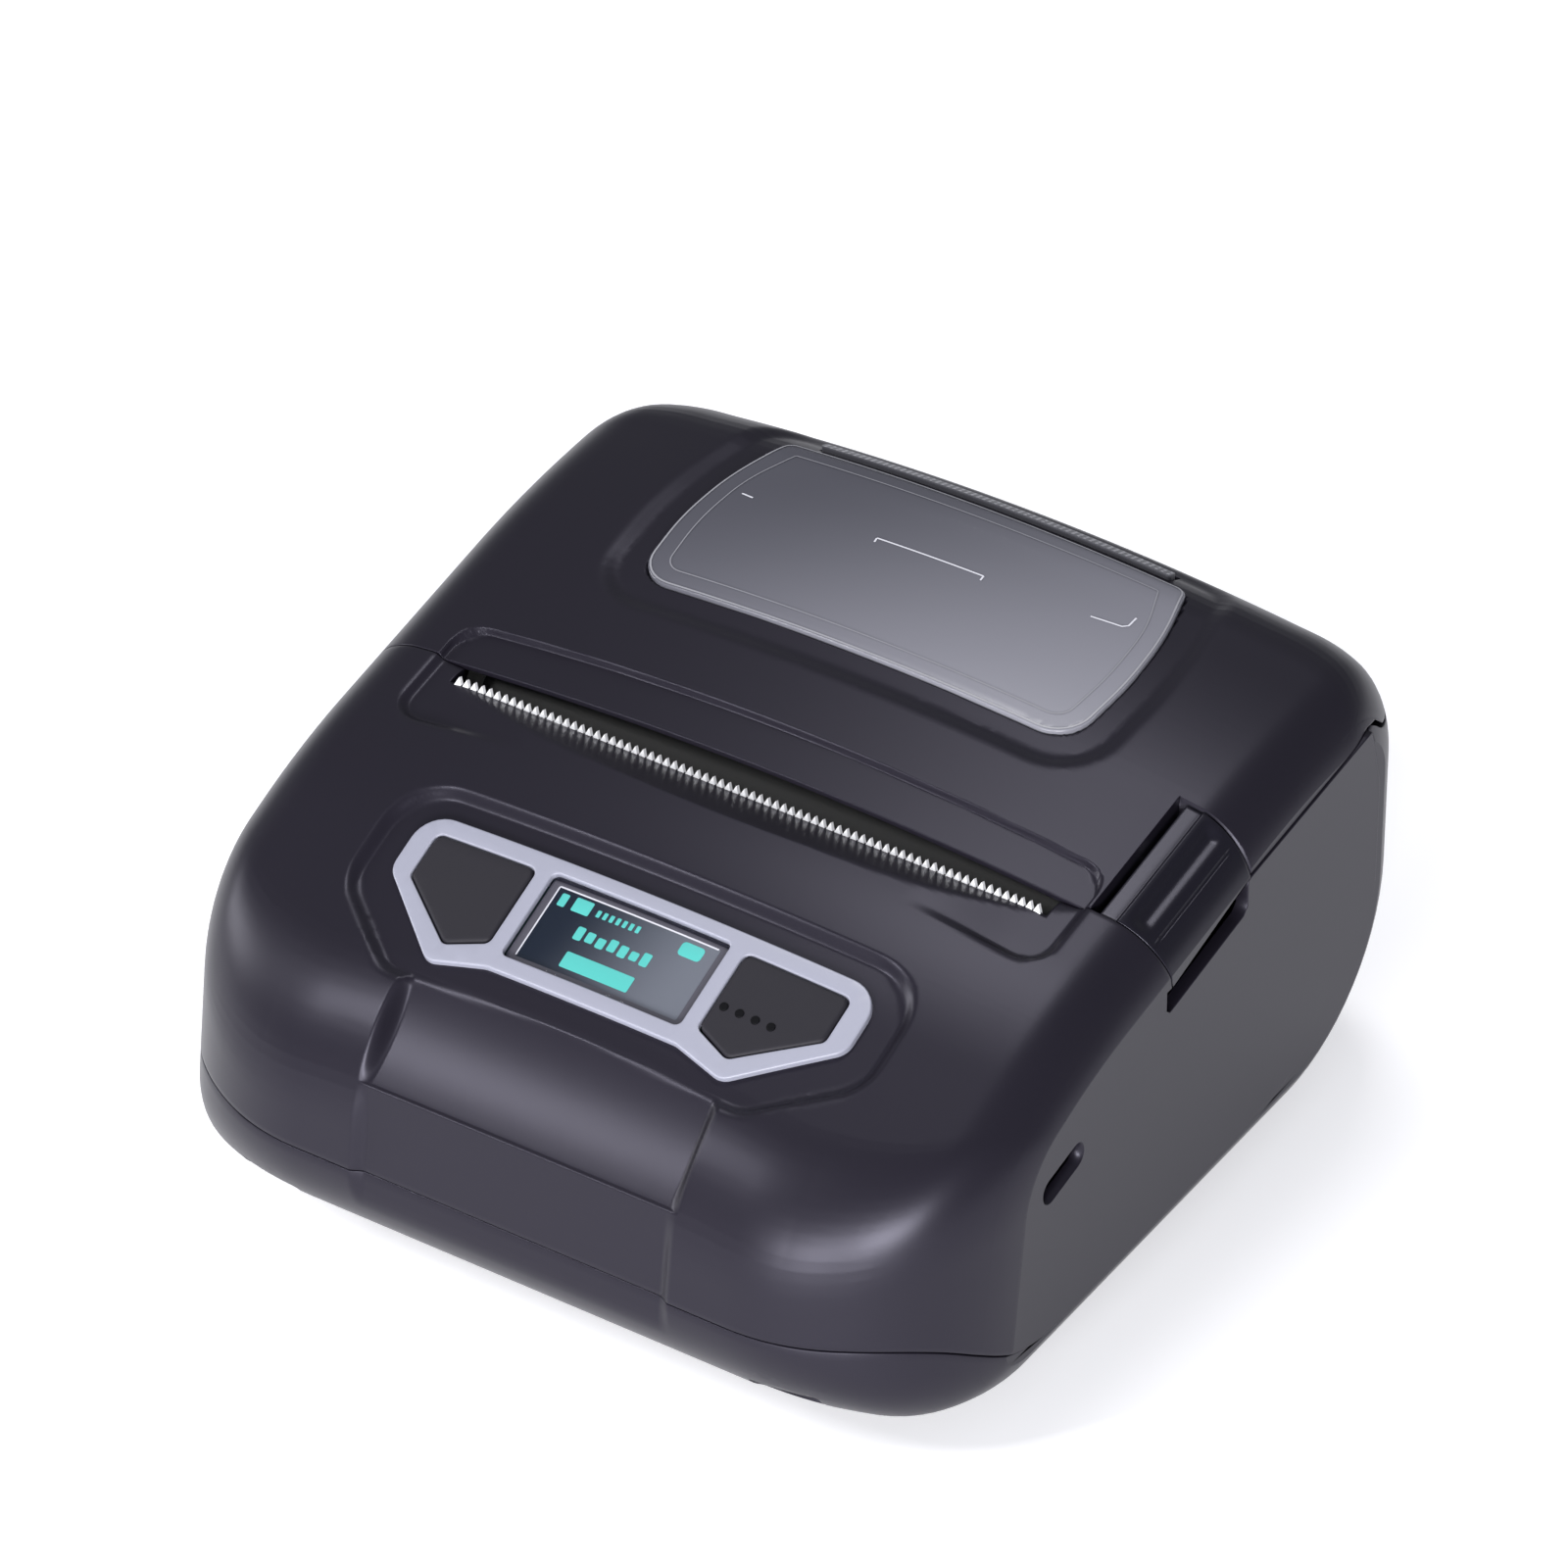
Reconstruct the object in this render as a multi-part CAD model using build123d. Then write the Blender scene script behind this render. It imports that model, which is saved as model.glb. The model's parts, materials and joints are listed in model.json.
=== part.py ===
from build123d import *
from functools import cache
import os
from math import acos, cos, hypot, pi, radians, sin, sqrt, tan

# Portable label printer for four-inch media, in millimetres.
# X runs to the right, Y to the rear and Z up. The origin is the middle of the base.

# Case: driving sizes of the outer skin
case_width = 153.4
wall = 2.2
seam_gap = 0.3
foot_height = 0.6
rear_y = 78.8
front_y = -77.1
front_z = 32.0
front_lean = 7.4
top_y = 47.2
top_z = 81.45
top_slope = 1.3
lid_z = 73.3
lid_slope = 10.5
panel_y = -46.9
panel_z = 61.8
panel_slope = 22.5
under_y = -73.3
under_z = 8.6
under_slope = 24.8
crown_radius = 456.0

# Case: roundings towards the side walls
top_edge_radius = 10.8
front_corner_radius = 36.0
rear_corner_radius = 19.5
bottom_edge_radius = 14.5
under_front_share = 0.15
side_flat = 0.5

# Case: roundings of the side outline, from the rear of the base round to its front
rear_lower_radius = 50.0
rear_upper_radius = 20.0
top_bend_radius = 200.0
panel_bend_radius = 120.0
front_upper_radius = 30.0
front_lower_radius = 18.0
under_bend_radius = 40.0

# Seams between the three case mouldings
lid_seam_y = -6.1
lid_seam_lean = 0.227
skirt_front_z = 57.0
skirt_rear_y = 21.7
skirt_rear_z = 64.0
shell_seam_front_z = 24.0
shell_seam_low_z = 11.0
shell_seam_meet_y = 59.5
shell_seam_meet_z = 69.1

# Lid hinge
hinge_y = rear_y - 9.8
hinge_z = top_z - 9.25
hinge_pin_radius = 1.5
hinge_barrel_radius = 3.6
hinge_sweep_radius = 6.9
hinge_clearance = 0.4
hinge_barrel_half_length = 40.0
hinge_ear_width = 5.4
hinge_ear_radius = 2.8
hinge_spring_half_length = 9.0
hinge_spring_radius = 2.5
hinge_spring_wire = 0.35
running_gap = 0.05

# Window of the lid
window_front_half = 42.0
window_middle_half = 43.4
window_rear_half = 38.8
window_front_y = 22.0
window_middle_y = 38.0
window_bend_y = 51.0
window_rear_y = 64.2
window_front_radius = 7.0
window_rear_radius = 2.5
window_side_radius = 60.0
window_thickness = 1.6
window_ledge = 2.0
window_frame_width = 5.6
window_frame_depth = 1.0
window_sink = 0.3
strip_half_width = 34.0
strip_front_y = 66.2
strip_rear_y = 68.3
strip_thickness = 1.2

# Key panel: outlines are drawn on the sloping panel, across and up the slope
bezel_half_width = 43.5
bezel_top = 11.4
bezel_shoulder = -0.5
bezel_point_x = 28.0
bezel_point = -13.7
bezel_waist_x = 18.0
bezel_bottom = -11.0
bezel_thickness = 1.1
pocket_half_width = 49.5
pocket_top = 16.4
pocket_shoulder = -5.0
pocket_bottom_x = 34.0
pocket_bottom = -17.5
pocket_depth = 1.6
key_inner_x = 19.8
key_outer_x = 39.6
key_top = 8.2
key_shoulder = -0.5
key_point_x = 27.0
key_point = -10.0
key_inner_bottom = -7.0
key_gap = 0.25
key_travel = 0.7
display_half_width = 17.0
display_top = 8.8
display_bottom = -8.0
lens_thickness = 1.0

# Recess band that runs from the key panel down the front
band_half_width = 29.5
band_depth = 1.2
band_crease_z = 39.5
band_hollow = 1.2
band_low_z = 9.0

# Paper exit and tear bar
tear_y = lid_seam_y - 2.2
tear_z = lid_z - 4.3
tear_length = 113.0
tear_thickness = 0.8
tear_height = 11.0
tear_lean = 20.0
tooth_pitch = 1.5
tooth_height = 1.6
exit_half_width = 62.0
exit_rear_y = lid_seam_y + 8.6
exit_depth = 1.3
exit_corner_radius = 5.0
exit_front_y = lid_seam_y - 13.4

# Release lever on the right edge of the lid
lever_inner_x = 64.6
lever_hinge_gap = 1.8
lever_rear_y = 21.4
lever_axis_x = 65.2
lever_axis_drop = 3.6
lever_pin_radius = 1.0
lever_barrel_radius = 2.0
lever_barrel_front_y = 0.4
lever_barrel_rear_y = 14.0
lever_ear_width = 2.6
slot_rise = 4.4
slot_rear_rise = 6.6
lever_coil_length = 3.0
hook_y = 5.0
hook_thickness = 2.0
hook_reach = 18.4
catch_x = 62.0
catch_z = 51.0

# Platen and its drive
platen_radius = 6.5
platen_half_length = 56.0
platen_y = lid_seam_y + 9.9
platen_z = lid_z - 13.8
platen_shaft_radius = 2.5
bush_radius = 4.0
bush_inner_x = 57.4
bush_outer_x = 62.6
gear_inner_x = 64.2
gear_width = 2.6
gear_module = 0.7
platen_teeth = 18
idler_teeth = 40
pinion_teeth = 10
motor_y = -3.6
motor_radius = 9.0
motor_length = 17.0
motor_shaft_radius = 1.0
idler_axle_radius = 1.5

# Thermal head and its chassis
head_angle = 20.0
head_gap = 0.12
head_length = 108.0
head_plate_thickness = 1.0
sink_thickness = 4.0
sink_length = 112.0
head_above = 4.0
head_below = 10.0
rod_radius = 1.5
rod_drop = 11.5
rod_depth = 3.2
rod_lug_radius = 3.0
chassis_side_x = 58.5
chassis_sheet = 1.2
chassis_front_y = -19.0
chassis_rear_y = 10.0
chassis_base_z = 39.6
chassis_top_z = 62.0
spring_radius = 2.4
spring_wire = 0.35
spring_turns = 4
spring_end_gap = 0.3
spring_head_gap = 1.45

# Media compartment
tub_radius = 27.0
tub_wall = 1.8
tub_half_length = 60.0
tub_y = 41.5
tub_z = 45.5
tub_rim_z = 58.0
guide_plate_x = 57.0
guide_thickness = 2.0
guide_radius = 21.0
guide_travel = 35.0
guide_hub_radius = 6.0
guide_hub_length = 5.0
rack_module = 0.8
rack_pinion_teeth = 10
rack_height = 3.0
rack_z = 11.6

# Electronics and power
board_thickness = 1.6
board_z = 37.0
battery_length = 60.0
battery_depth = 34.0
battery_height = 19.0
battery_y = -24.0
battery_z = 2.1
battery_cover_rim = 6.4
battery_cover_thickness = 1.2
port_y = -34.8
port_z = 41.4
port_length = 12.4
port_height = 5.0
port_tilt = 13.0

# Fasteners and feet
boss_radius = 4.0
screw_radius = 1.5
screw_head_radius = 2.8
boss_x = 56.0
boss_front_y = -38.0
boss_rear_y = 27.0
foot_radius = 6.0
foot_recess = 0.8
foot_x = 48.0
foot_front_y = -33.0
foot_rear_y = 18.0

half_width = case_width / 2
panel_dir = Vector(0, cos(radians(panel_slope)), sin(radians(panel_slope)))
panel_normal = Vector(0, -sin(radians(panel_slope)), cos(radians(panel_slope)))
panel_plane = Plane(origin=(0, panel_y, panel_z), x_dir=(1, 0, 0), z_dir=panel_normal)
far = 140.0


# Drawing helpers

def rounded(corners, radii):
    """Closed wire through 3D corners, each corner rounded by its own radius."""
    count = len(corners)
    points = [Vector(*corner) for corner in corners]
    starts, middles, ends = [], [], []
    for i in range(count):
        before = points[i - 1] - points[i]
        after = points[(i + 1) % count] - points[i]
        half = radians(before.get_angle(after)) / 2
        reach = min(radii[i] / tan(half), 0.46 * before.length, 0.46 * after.length)
        radius = reach * tan(half)
        inward = (before.normalized() + after.normalized()).normalized()
        centre = points[i] + inward * hypot(radius, reach)
        starts.append(points[i] + before.normalized() * reach)
        middles.append(centre - inward * radius)
        ends.append(points[i] + after.normalized() * reach)
    edges = []
    for i in range(count):
        edges.append(Edge.make_three_point_arc(starts[i], middles[i], ends[i]))
        edges.append(Edge.make_line(ends[i], starts[(i + 1) % count]))
    return Wire(edges)


def side_prism(points, x_from, x_to, radius=0.0):
    """Prism along X whose section is drawn in Y and Z."""
    corners = [(x_from, y, z) for y, z in points]
    if radius:
        face = Face(rounded(corners, [radius] * len(corners)))
    else:
        face = Face(Wire.make_polygon([Vector(*c) for c in corners], close=True))
    return Solid.extrude(face, Vector(x_to - x_from, 0, 0))


def plan_prism(points, radii, z_from, z_to):
    """Prism along Z whose section is drawn in X and Y."""
    face = Face(rounded([(x, y, z_from) for x, y in points], radii))
    return Solid.extrude(face, Vector(0, 0, z_to - z_from))


def panel_prism(points, radii, low, high):
    """Prism square to the key panel, from height low to height high above it."""
    origin = Vector(0, panel_y, panel_z)
    corners = [origin + Vector(u, 0, 0) + panel_dir * v + panel_normal * low for u, v in points]
    face = Face(rounded(corners, radii))
    return Solid.extrude(face, panel_normal * (high - low))


def box(x_from, x_to, y_from, y_to, z_from, z_to):
    """Box between two corners."""
    size = (x_to - x_from, y_to - y_from, z_to - z_from)
    centre = ((x_from + x_to) / 2, (y_from + y_to) / 2, (z_from + z_to) / 2)
    return Pos(*centre) * Box(*size)


def rod_x(y, z, radius, x_from, x_to):
    """Round bar along X."""
    plane = Plane(origin=(x_from, y, z), x_dir=(0, 1, 0), z_dir=(1, 0, 0))
    return extrude(plane * Circle(radius), amount=x_to - x_from)


def rod_z(x, y, radius, z_from, z_to):
    """Round bar along Z."""
    return extrude(Plane((x, y, z_from)) * Circle(radius), amount=z_to - z_from)


def both_sides(shape):
    """The shape and its mirror image across the middle plane."""
    return [shape, mirror(shape, about=Plane.YZ)]


def lid_top(y):
    """Height of the lid's middle line at y, on the straight stretch above the platen."""
    return lid_z + tan(radians(lid_slope)) * (y - lid_seam_y)


# Outer form

def quarter_inset(radius, distance):
    """How far an edge of this radius has drawn in, at a distance from the side wall."""
    left = max(radius - distance, 0)
    return radius - sqrt(max(radius ** 2 - left ** 2, 0))


def shifted(y, z, angle, inset):
    """Line through a point at an angle, moved to its left by inset."""
    a = radians(angle)
    return (y - inset * sin(a), z + inset * cos(a), cos(a), sin(a))


def crossing(first, second):
    """Point where two lines of the side outline cross."""
    y1, z1, c1, s1 = first
    y2, z2, c2, s2 = second
    along = ((y2 - y1) * s2 - (z2 - z1) * c2) / (c1 * s2 - s1 * c2)
    return (y1 + along * c1, z1 + along * s1)


def body_outline(x, depth):
    """Side outline at the station x, drawn at a depth below the outer skin."""
    distance = half_width - depth - abs(x) + side_flat
    crown = crown_radius - sqrt(crown_radius ** 2 - x ** 2)

    def drawn_in(radius):
        return depth + quarter_inset(max(radius - depth, 0.5), distance)

    top = drawn_in(top_edge_radius) + crown
    front = drawn_in(front_corner_radius)
    rear = drawn_in(rear_corner_radius)
    bottom = drawn_in(bottom_edge_radius)
    under = under_front_share * front + (1 - under_front_share) * bottom
    insets = [bottom, rear, top, top, top, front, under]
    lines = [
        shifted(0, foot_height, 0, bottom),
        shifted(rear_y, front_z, 90, rear),
        shifted(top_y, top_z, 180 + top_slope, top),
        shifted(lid_seam_y, lid_z, 180 + lid_slope, top),
        shifted(panel_y, panel_z, 180 + panel_slope, top),
        shifted(front_y, front_z, 270 - front_lean, front),
        shifted(under_y, under_z + foot_height, -under_slope, under),
    ]
    bends = [rear_lower_radius, rear_upper_radius, top_bend_radius, panel_bend_radius,
             front_upper_radius, front_lower_radius, under_bend_radius]
    corners, radii = [], []
    for i in range(len(lines)):
        after = (i + 1) % len(lines)
        y, z = crossing(lines[i], lines[after])
        corners.append((x, y, z))
        shrink = 0.35 * (insets[i] + insets[after])
        radii.append(max(bends[i] - shrink, 0.35 * bends[i]))
    return Face(rounded(corners, radii))


@cache
def body_solid(depth, sections):
    """Whole body, depth below the outer skin, lofted across side outlines."""
    reach = half_width - depth
    stations = [-reach * cos(pi * i / sections) for i in range(sections + 1)]
    return loft([body_outline(x, depth) for x in stations])


outer = body_solid(0, 18)
cavity = body_solid(wall, 14)
skin = outer - cavity


def layer(prism, top_depth, floor):
    """The part of a prism between a depth below the skin and a deeper body form."""
    upper = outer if top_depth == 0 else body_solid(top_depth, 14)
    return (prism & upper) - floor


# Zones of the three mouldings, in side view

lid_front_foot_y = lid_seam_y + lid_seam_lean * (lid_z - skirt_front_z)
lid_front_top = (lid_seam_y - lid_seam_lean * 30, lid_z + 30)
lid_seam = [
    lid_front_top,
    (lid_front_foot_y, skirt_front_z),
    (skirt_rear_y, skirt_rear_z),
    (shell_seam_meet_y, shell_seam_meet_z),
    (hinge_y, hinge_z),
    (hinge_y + 40, hinge_z + 40),
]
shell_seam = [
    (-far, shell_seam_front_z),
    (front_y + 11, shell_seam_front_z),
    (front_y + 33, shell_seam_low_z),
    (rear_y - 41, shell_seam_low_z),
    (rear_y - 11, shell_seam_low_z + 22),
    (rear_y - 12.5, shell_seam_low_z + 46),
    (shell_seam_meet_y, shell_seam_meet_z),
]
seam_bends = [0.01, 30.0, 38.0, 40.0, 18.0, 15.0, 0.01]


def zone(points, radii):
    """Side-view region, half a seam gap smaller all round, as a prism across the body."""
    face = Face(rounded([(-far, y, z) for y, z in points], radii))
    grown = offset(face, amount=-seam_gap / 2)
    return extrude(grown, amount=2 * far, dir=(1, 0, 0))


hinge_sweep = rod_x(hinge_y, hinge_z, hinge_sweep_radius, -half_width, half_width)
hinge_relief = rod_x(hinge_y, hinge_z, hinge_sweep_radius + hinge_clearance,
                     -half_width - 1, half_width + 1)
lid_zone = zone(lid_seam, [0.01] * len(lid_seam))
lower_zone = zone([(-far, -5)] + shell_seam + [(hinge_y, hinge_z), (hinge_y + 60, hinge_z + 60),
                  (hinge_y + 60, -5)], [0.01] + seam_bends + [0.01] * 3)
upper_zone = zone(shell_seam + lid_seam[2:0:-1] + [lid_front_top, (-far, lid_z + 30)],
                  seam_bends + [0.01] * 4)

# Outlines shared by neighbouring pieces

window_bend_half = (window_middle_half + window_rear_half) / 2 + 1.3
window_right = [(window_rear_half, window_rear_y), (window_bend_half, window_bend_y),
                (window_middle_half, window_middle_y), (window_front_half, window_front_y)]
window_corners = [(-x, y) for x, y in window_right] + window_right[::-1]
window_right_radii = [window_rear_radius, window_side_radius, window_side_radius, window_front_radius]
window_radii = window_right_radii + window_right_radii[::-1]


def window_prism(grow, extra_rear=0.0):
    """Plan prism of the window, grown or shrunk all round."""
    points = []
    for x, y in window_corners:
        side = 1 if x > 0 else -1
        if y == window_rear_y:
            y += grow + extra_rear
        elif y == window_front_y:
            y -= grow
        points.append((x + side * grow, y))
    return plan_prism(points, [max(r + grow, 0.5) for r in window_radii], lid_z - 8, top_z + 8)


def mirrored_outline(right_half):
    """Closed outline from the points of its right half, listed from top to bottom."""
    return right_half + [(-u, v) for u, v in reversed(right_half)]


bezel_outline = mirrored_outline([(bezel_half_width, bezel_top), (bezel_half_width, bezel_shoulder),
                                  (bezel_point_x, bezel_point), (bezel_waist_x, bezel_bottom)])
bezel_radii = [6.0, 4.0, 3.0, 4.0, 4.0, 3.0, 4.0, 6.0]
pocket_outline = mirrored_outline([(pocket_half_width, pocket_top),
                                   (pocket_half_width, pocket_shoulder),
                                   (pocket_bottom_x, pocket_bottom)])
pocket_radii = [10.0, 9.0, 6.0, 6.0, 9.0, 10.0]
display_outline = [(-display_half_width, display_top), (-display_half_width, display_bottom),
                   (display_half_width, display_bottom), (display_half_width, display_top)]


def key_outline(side, shrink):
    """Outline of one key, drawn in on all sides by shrink."""
    points = [(key_inner_x + shrink, key_top - shrink), (key_outer_x - shrink, key_top - shrink),
              (key_outer_x - shrink, key_shoulder), (key_point_x, key_point + shrink),
              (key_inner_x + shrink, key_inner_bottom + shrink)]
    return [(side * u, v) for u, v in points]


key_radii = [1.5] * 5


# Outer mouldings

pocket_floor = body_solid(pocket_depth, 14)
frame_floor = body_solid(window_frame_depth, 14)


def scoop_outline(shift):
    """Side view of the hollow below the key panel, moved inwards by shift."""
    slope = tan(radians(front_lean))
    crease_y = front_y + (band_crease_z - front_z) * slope + band_depth
    top_u = bezel_point - 1.2
    top_y_z = (panel_y + top_u * panel_dir.Y, panel_z + top_u * panel_dir.Z - pocket_depth)
    middle = ((crease_y + top_y_z[0]) / 2 + band_hollow, (band_crease_z + top_y_z[1]) / 2 - band_hollow)
    low_y = crease_y - (band_crease_z - band_low_z) * slope
    points = [(top_y_z[0], top_y_z[1] + 8), top_y_z, middle, (crease_y, band_crease_z),
              (low_y, band_low_z), (-far, band_low_z), (-far, top_y_z[1] + 8)]
    return [(y + shift, z - shift * 0.6) for y, z in points]


scoop = side_prism(scoop_outline(0), -band_half_width, band_half_width)
scoop_wall = side_prism(scoop_outline(wall), -band_half_width - wall, band_half_width + wall)
scoop_skin = (scoop_wall & outer) - box(-far, far, -far, far, -5, shell_seam_front_z + 2)

exit_plan = [(-exit_half_width, exit_front_y), (exit_half_width, exit_front_y),
             (exit_half_width, exit_rear_y), (-exit_half_width, exit_rear_y)]
exit_radii = [exit_corner_radius] * 4
exit_prism = plan_prism(exit_plan, exit_radii, lid_z - 20, lid_z + 20)
exit_floor = body_solid(exit_depth, 14)
valley = side_prism([(exit_front_y + 0.4, lid_top(exit_front_y) + 0.4), (tear_y - 1.5, tear_z - 0.9),
                     (tear_y + 6, tear_z - 1.2), (tear_y + 6, lid_z + 20), (exit_front_y, lid_z + 20)],
                    -exit_half_width + 1, exit_half_width - 1)
lip_slope_cut = side_prism([(lid_seam_y - 4, lid_z - 2.9), (lid_seam_y + 7.2, lid_z + 0.9),
                            (lid_seam_y + 7.2, lid_z + 12), (lid_seam_y - 4, lid_z + 12)],
                           -exit_half_width + 1, exit_half_width - 1)


def bar_face(down, ahead):
    """Place beside the tear bar: down from its tips, and ahead of its rear face."""
    lean = radians(tear_lean)
    return (tear_y - down * sin(lean) - ahead * cos(lean), tear_z - down * cos(lean) + ahead * sin(lean))


bar_seat = side_prism([(exit_front_y - 2, lid_top(exit_front_y) - 5.5),
                       (exit_front_y - 2, lid_top(exit_front_y)),
                       bar_face(-3.0, tear_thickness + 0.02), bar_face(9.5, tear_thickness + 0.02)],
                      -chassis_side_x + 1.1, chassis_side_x - 1.1) & outer
bar_room = side_prism([bar_face(-4.0, tear_thickness + 0.02), bar_face(tear_height + 0.3, tear_thickness + 0.02),
                       bar_face(tear_height + 0.3, -0.02), bar_face(-4.0, -0.02)],
                      -tear_length / 2 - 0.2, tear_length / 2 + 0.2)
slot_line = [(lid_front_foot_y - 1.2, skirt_front_z + 1), (lid_front_foot_y - 1.2, skirt_front_z - slot_rise),
             (skirt_rear_y - 1.2, skirt_rear_z - slot_rear_rise), (skirt_rear_y - 1.2, skirt_rear_z + 1)]
finger_slot = side_prism(slot_line, half_width - 12, half_width + 5)
port_plane = Plane(origin=(half_width, port_y, port_z), x_dir=(0, cos(radians(port_tilt)), sin(radians(port_tilt))),
                   z_dir=(1, 0, 0))
port_opening = extrude(port_plane * SlotOverall(port_length, port_height), amount=8, both=True)


def upper_housing():
    """Front panel, front wall and side walls in one moulding."""
    shell = skin & upper_zone
    backing = panel_prism(pocket_outline, pocket_radii, -9, 6) & cavity
    backing = backing - body_solid(wall + pocket_depth, 14)
    shell = shell + (backing & upper_zone) + (scoop_skin & upper_zone) + (bar_seat & upper_zone)
    shell = shell - scoop - valley - bar_room
    shell = shell - layer(panel_prism(pocket_outline, pocket_radii, -12, 12), 0, pocket_floor)
    for side in (-1, 1):
        shell = shell - panel_prism(key_outline(side, -0.2), key_radii, -14, 6)
    shell = shell - panel_prism(display_outline, [1.2] * 4, -14, 6)
    shell = shell - finger_slot - port_opening
    pins = []
    for x in (-boss_x, boss_x):
        pins.append(rod_z(x, boss_front_y, boss_radius, board_z - 6, panel_z) & cavity)
    shell = shell + pins
    for x in (-boss_x, boss_x):
        shell = shell - rod_z(x, boss_front_y, screw_radius + 0.02, board_z - 7, board_z + 8)
    return shell


lid_frame_depth = wall + 0.1


def lid_cover():
    """Hinged cover with the paper lip, the window seat and the hinge barrel."""
    region = lid_zone + hinge_sweep
    shell = skin & region
    lip = side_prism([(lid_seam_y + 0.3, lid_z + 8), (lid_seam_y + 2.1, lid_z - 6.9),
                      (exit_rear_y + 1.5, lid_z - 5.6), (exit_rear_y + 1.5, lid_z + 8)],
                     -exit_half_width + 2, exit_half_width - 2) & outer
    barrel = rod_x(hinge_y, hinge_z, hinge_barrel_radius, -hinge_barrel_half_length,
                   hinge_barrel_half_length)
    shell = shell + (lip & lid_zone) + (barrel & outer)
    exit_cut = layer(exit_prism, 0, exit_floor)
    shell = shell - exit_cut - lip_slope_cut
    shell = shell - layer(window_prism(window_frame_width, 4.0), 0, frame_floor)
    seat_floor = body_solid(window_sink + window_thickness, 14)
    shell = shell - layer(window_prism(0.15), 0, seat_floor)
    shell = shell - window_prism(-window_ledge)
    bore_half = hinge_barrel_half_length + 1
    shell = shell - rod_x(hinge_y, hinge_z, hinge_pin_radius + running_gap, -bore_half, bore_half)
    shell = shell - rod_x(hinge_y, hinge_z, hinge_barrel_radius + 0.1, -hinge_spring_half_length - 0.4,
                          hinge_spring_half_length + 0.4)
    shell = shell - layer(strip_prism(0.1), 0, body_solid(strip_thickness + 0.05, 14))
    for side in (-1, 1):
        ear_x = side * (hinge_barrel_half_length + hinge_ear_width / 2 + seam_gap)
        reach = hinge_ear_width / 2 + seam_gap
        shell = shell - rod_x(hinge_y, hinge_z, hinge_ear_radius + seam_gap, ear_x - reach, ear_x + reach)
        shell = shell - side_prism([(hinge_y, hinge_z), (hinge_y + 9, hinge_z - 9), (hinge_y + 9, hinge_z + 8)],
                                   ear_x - reach, ear_x + reach)
    notch = box(lever_inner_x - lever_hinge_gap, far, lid_seam_y - 12, lever_rear_y + seam_gap,
                skirt_front_z - 4, top_z)
    shell = shell - notch
    for y_from in (lever_barrel_front_y - seam_gap - lever_ear_width, lever_barrel_rear_y + seam_gap):
        shell = shell + lever_ear(y_from)
    return shell


def lever_axis_point(y):
    """Point of the lever's axis at y."""
    return Vector(lever_axis_x, y, lid_top(y) - lever_axis_drop - crown_drop)


crown_drop = crown_radius - sqrt(crown_radius ** 2 - lever_axis_x ** 2)
lever_dir = Vector(0, cos(radians(lid_slope)), sin(radians(lid_slope)))


def lever_rod(radius, y_from, y_to):
    """Round bar on the lever's axis between two places along Y."""
    start = lever_axis_point(y_from)
    plane = Plane(origin=start, x_dir=(1, 0, 0), z_dir=lever_dir)
    return extrude(plane * Circle(radius), amount=(y_to - y_from) / cos(radians(lid_slope)))


lever_up = Vector(0, -sin(radians(lid_slope)), cos(radians(lid_slope)))


def lever_block(points, y_from, y_to):
    """Prism along the lever's axis; points are across the axis and up from it."""
    start = lever_axis_point(y_from)
    corners = [start + Vector(across, 0, 0) + lever_up * up for across, up in points]
    face = Face(Wire.make_polygon(corners, close=True))
    return Solid.extrude(face, lever_dir * ((y_to - y_from) / cos(radians(lid_slope))))


def lever_ear(y_from):
    """Ear of the lid that carries one end of the lever's pin."""
    inner = lever_inner_x - lever_hinge_gap - lever_axis_x
    ear = lever_block([(inner - 0.3, -1.2), (0, -1.2), (0, 1.2), (inner + 0.65, 1.75), (inner + 0.25, 2.6),
                       (inner - 1.1, 2.8), (inner - 1.1, 2.1), (inner - 0.3, 1.5)],
                      y_from, y_from + lever_ear_width)
    ear = ear + lever_rod(lever_barrel_radius - 0.3, y_from, y_from + lever_ear_width)
    ear = ear & outer
    return ear - lever_rod(lever_pin_radius, y_from - 2, y_from + lever_ear_width + 2)


lever_barrel_end_y = lever_barrel_rear_y - lever_coil_length


def lever_spring():
    """Coil on the lever's pin, between its barrel and the rear ear."""
    start = lever_axis_point(lever_barrel_end_y + 0.2)
    return coil(tuple(start), tuple(lever_dir), lever_barrel_radius, 0.25, lever_coil_length - 0.2, 4)


def latch_hook():
    """Steel hook below the lever's barrel; its nose points inwards under the catch."""
    nose = catch_x + 0.3 - lever_axis_x
    hook = lever_block([(-1.6, 0.2), (-1.6, -2.6), (-0.4, -3.6), (-0.4, -hook_reach + 2.4),
                        (nose, -hook_reach + 2.0), (nose + 0.9, -hook_reach), (0.9, -hook_reach),
                        (1.0, -3.6), (3.2, -1.6), (3.2, 0.2)], hook_y, hook_y + hook_thickness)
    return hook - lever_rod(lever_barrel_radius + 0.02, hook_y - 3, hook_y + 8)


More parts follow.
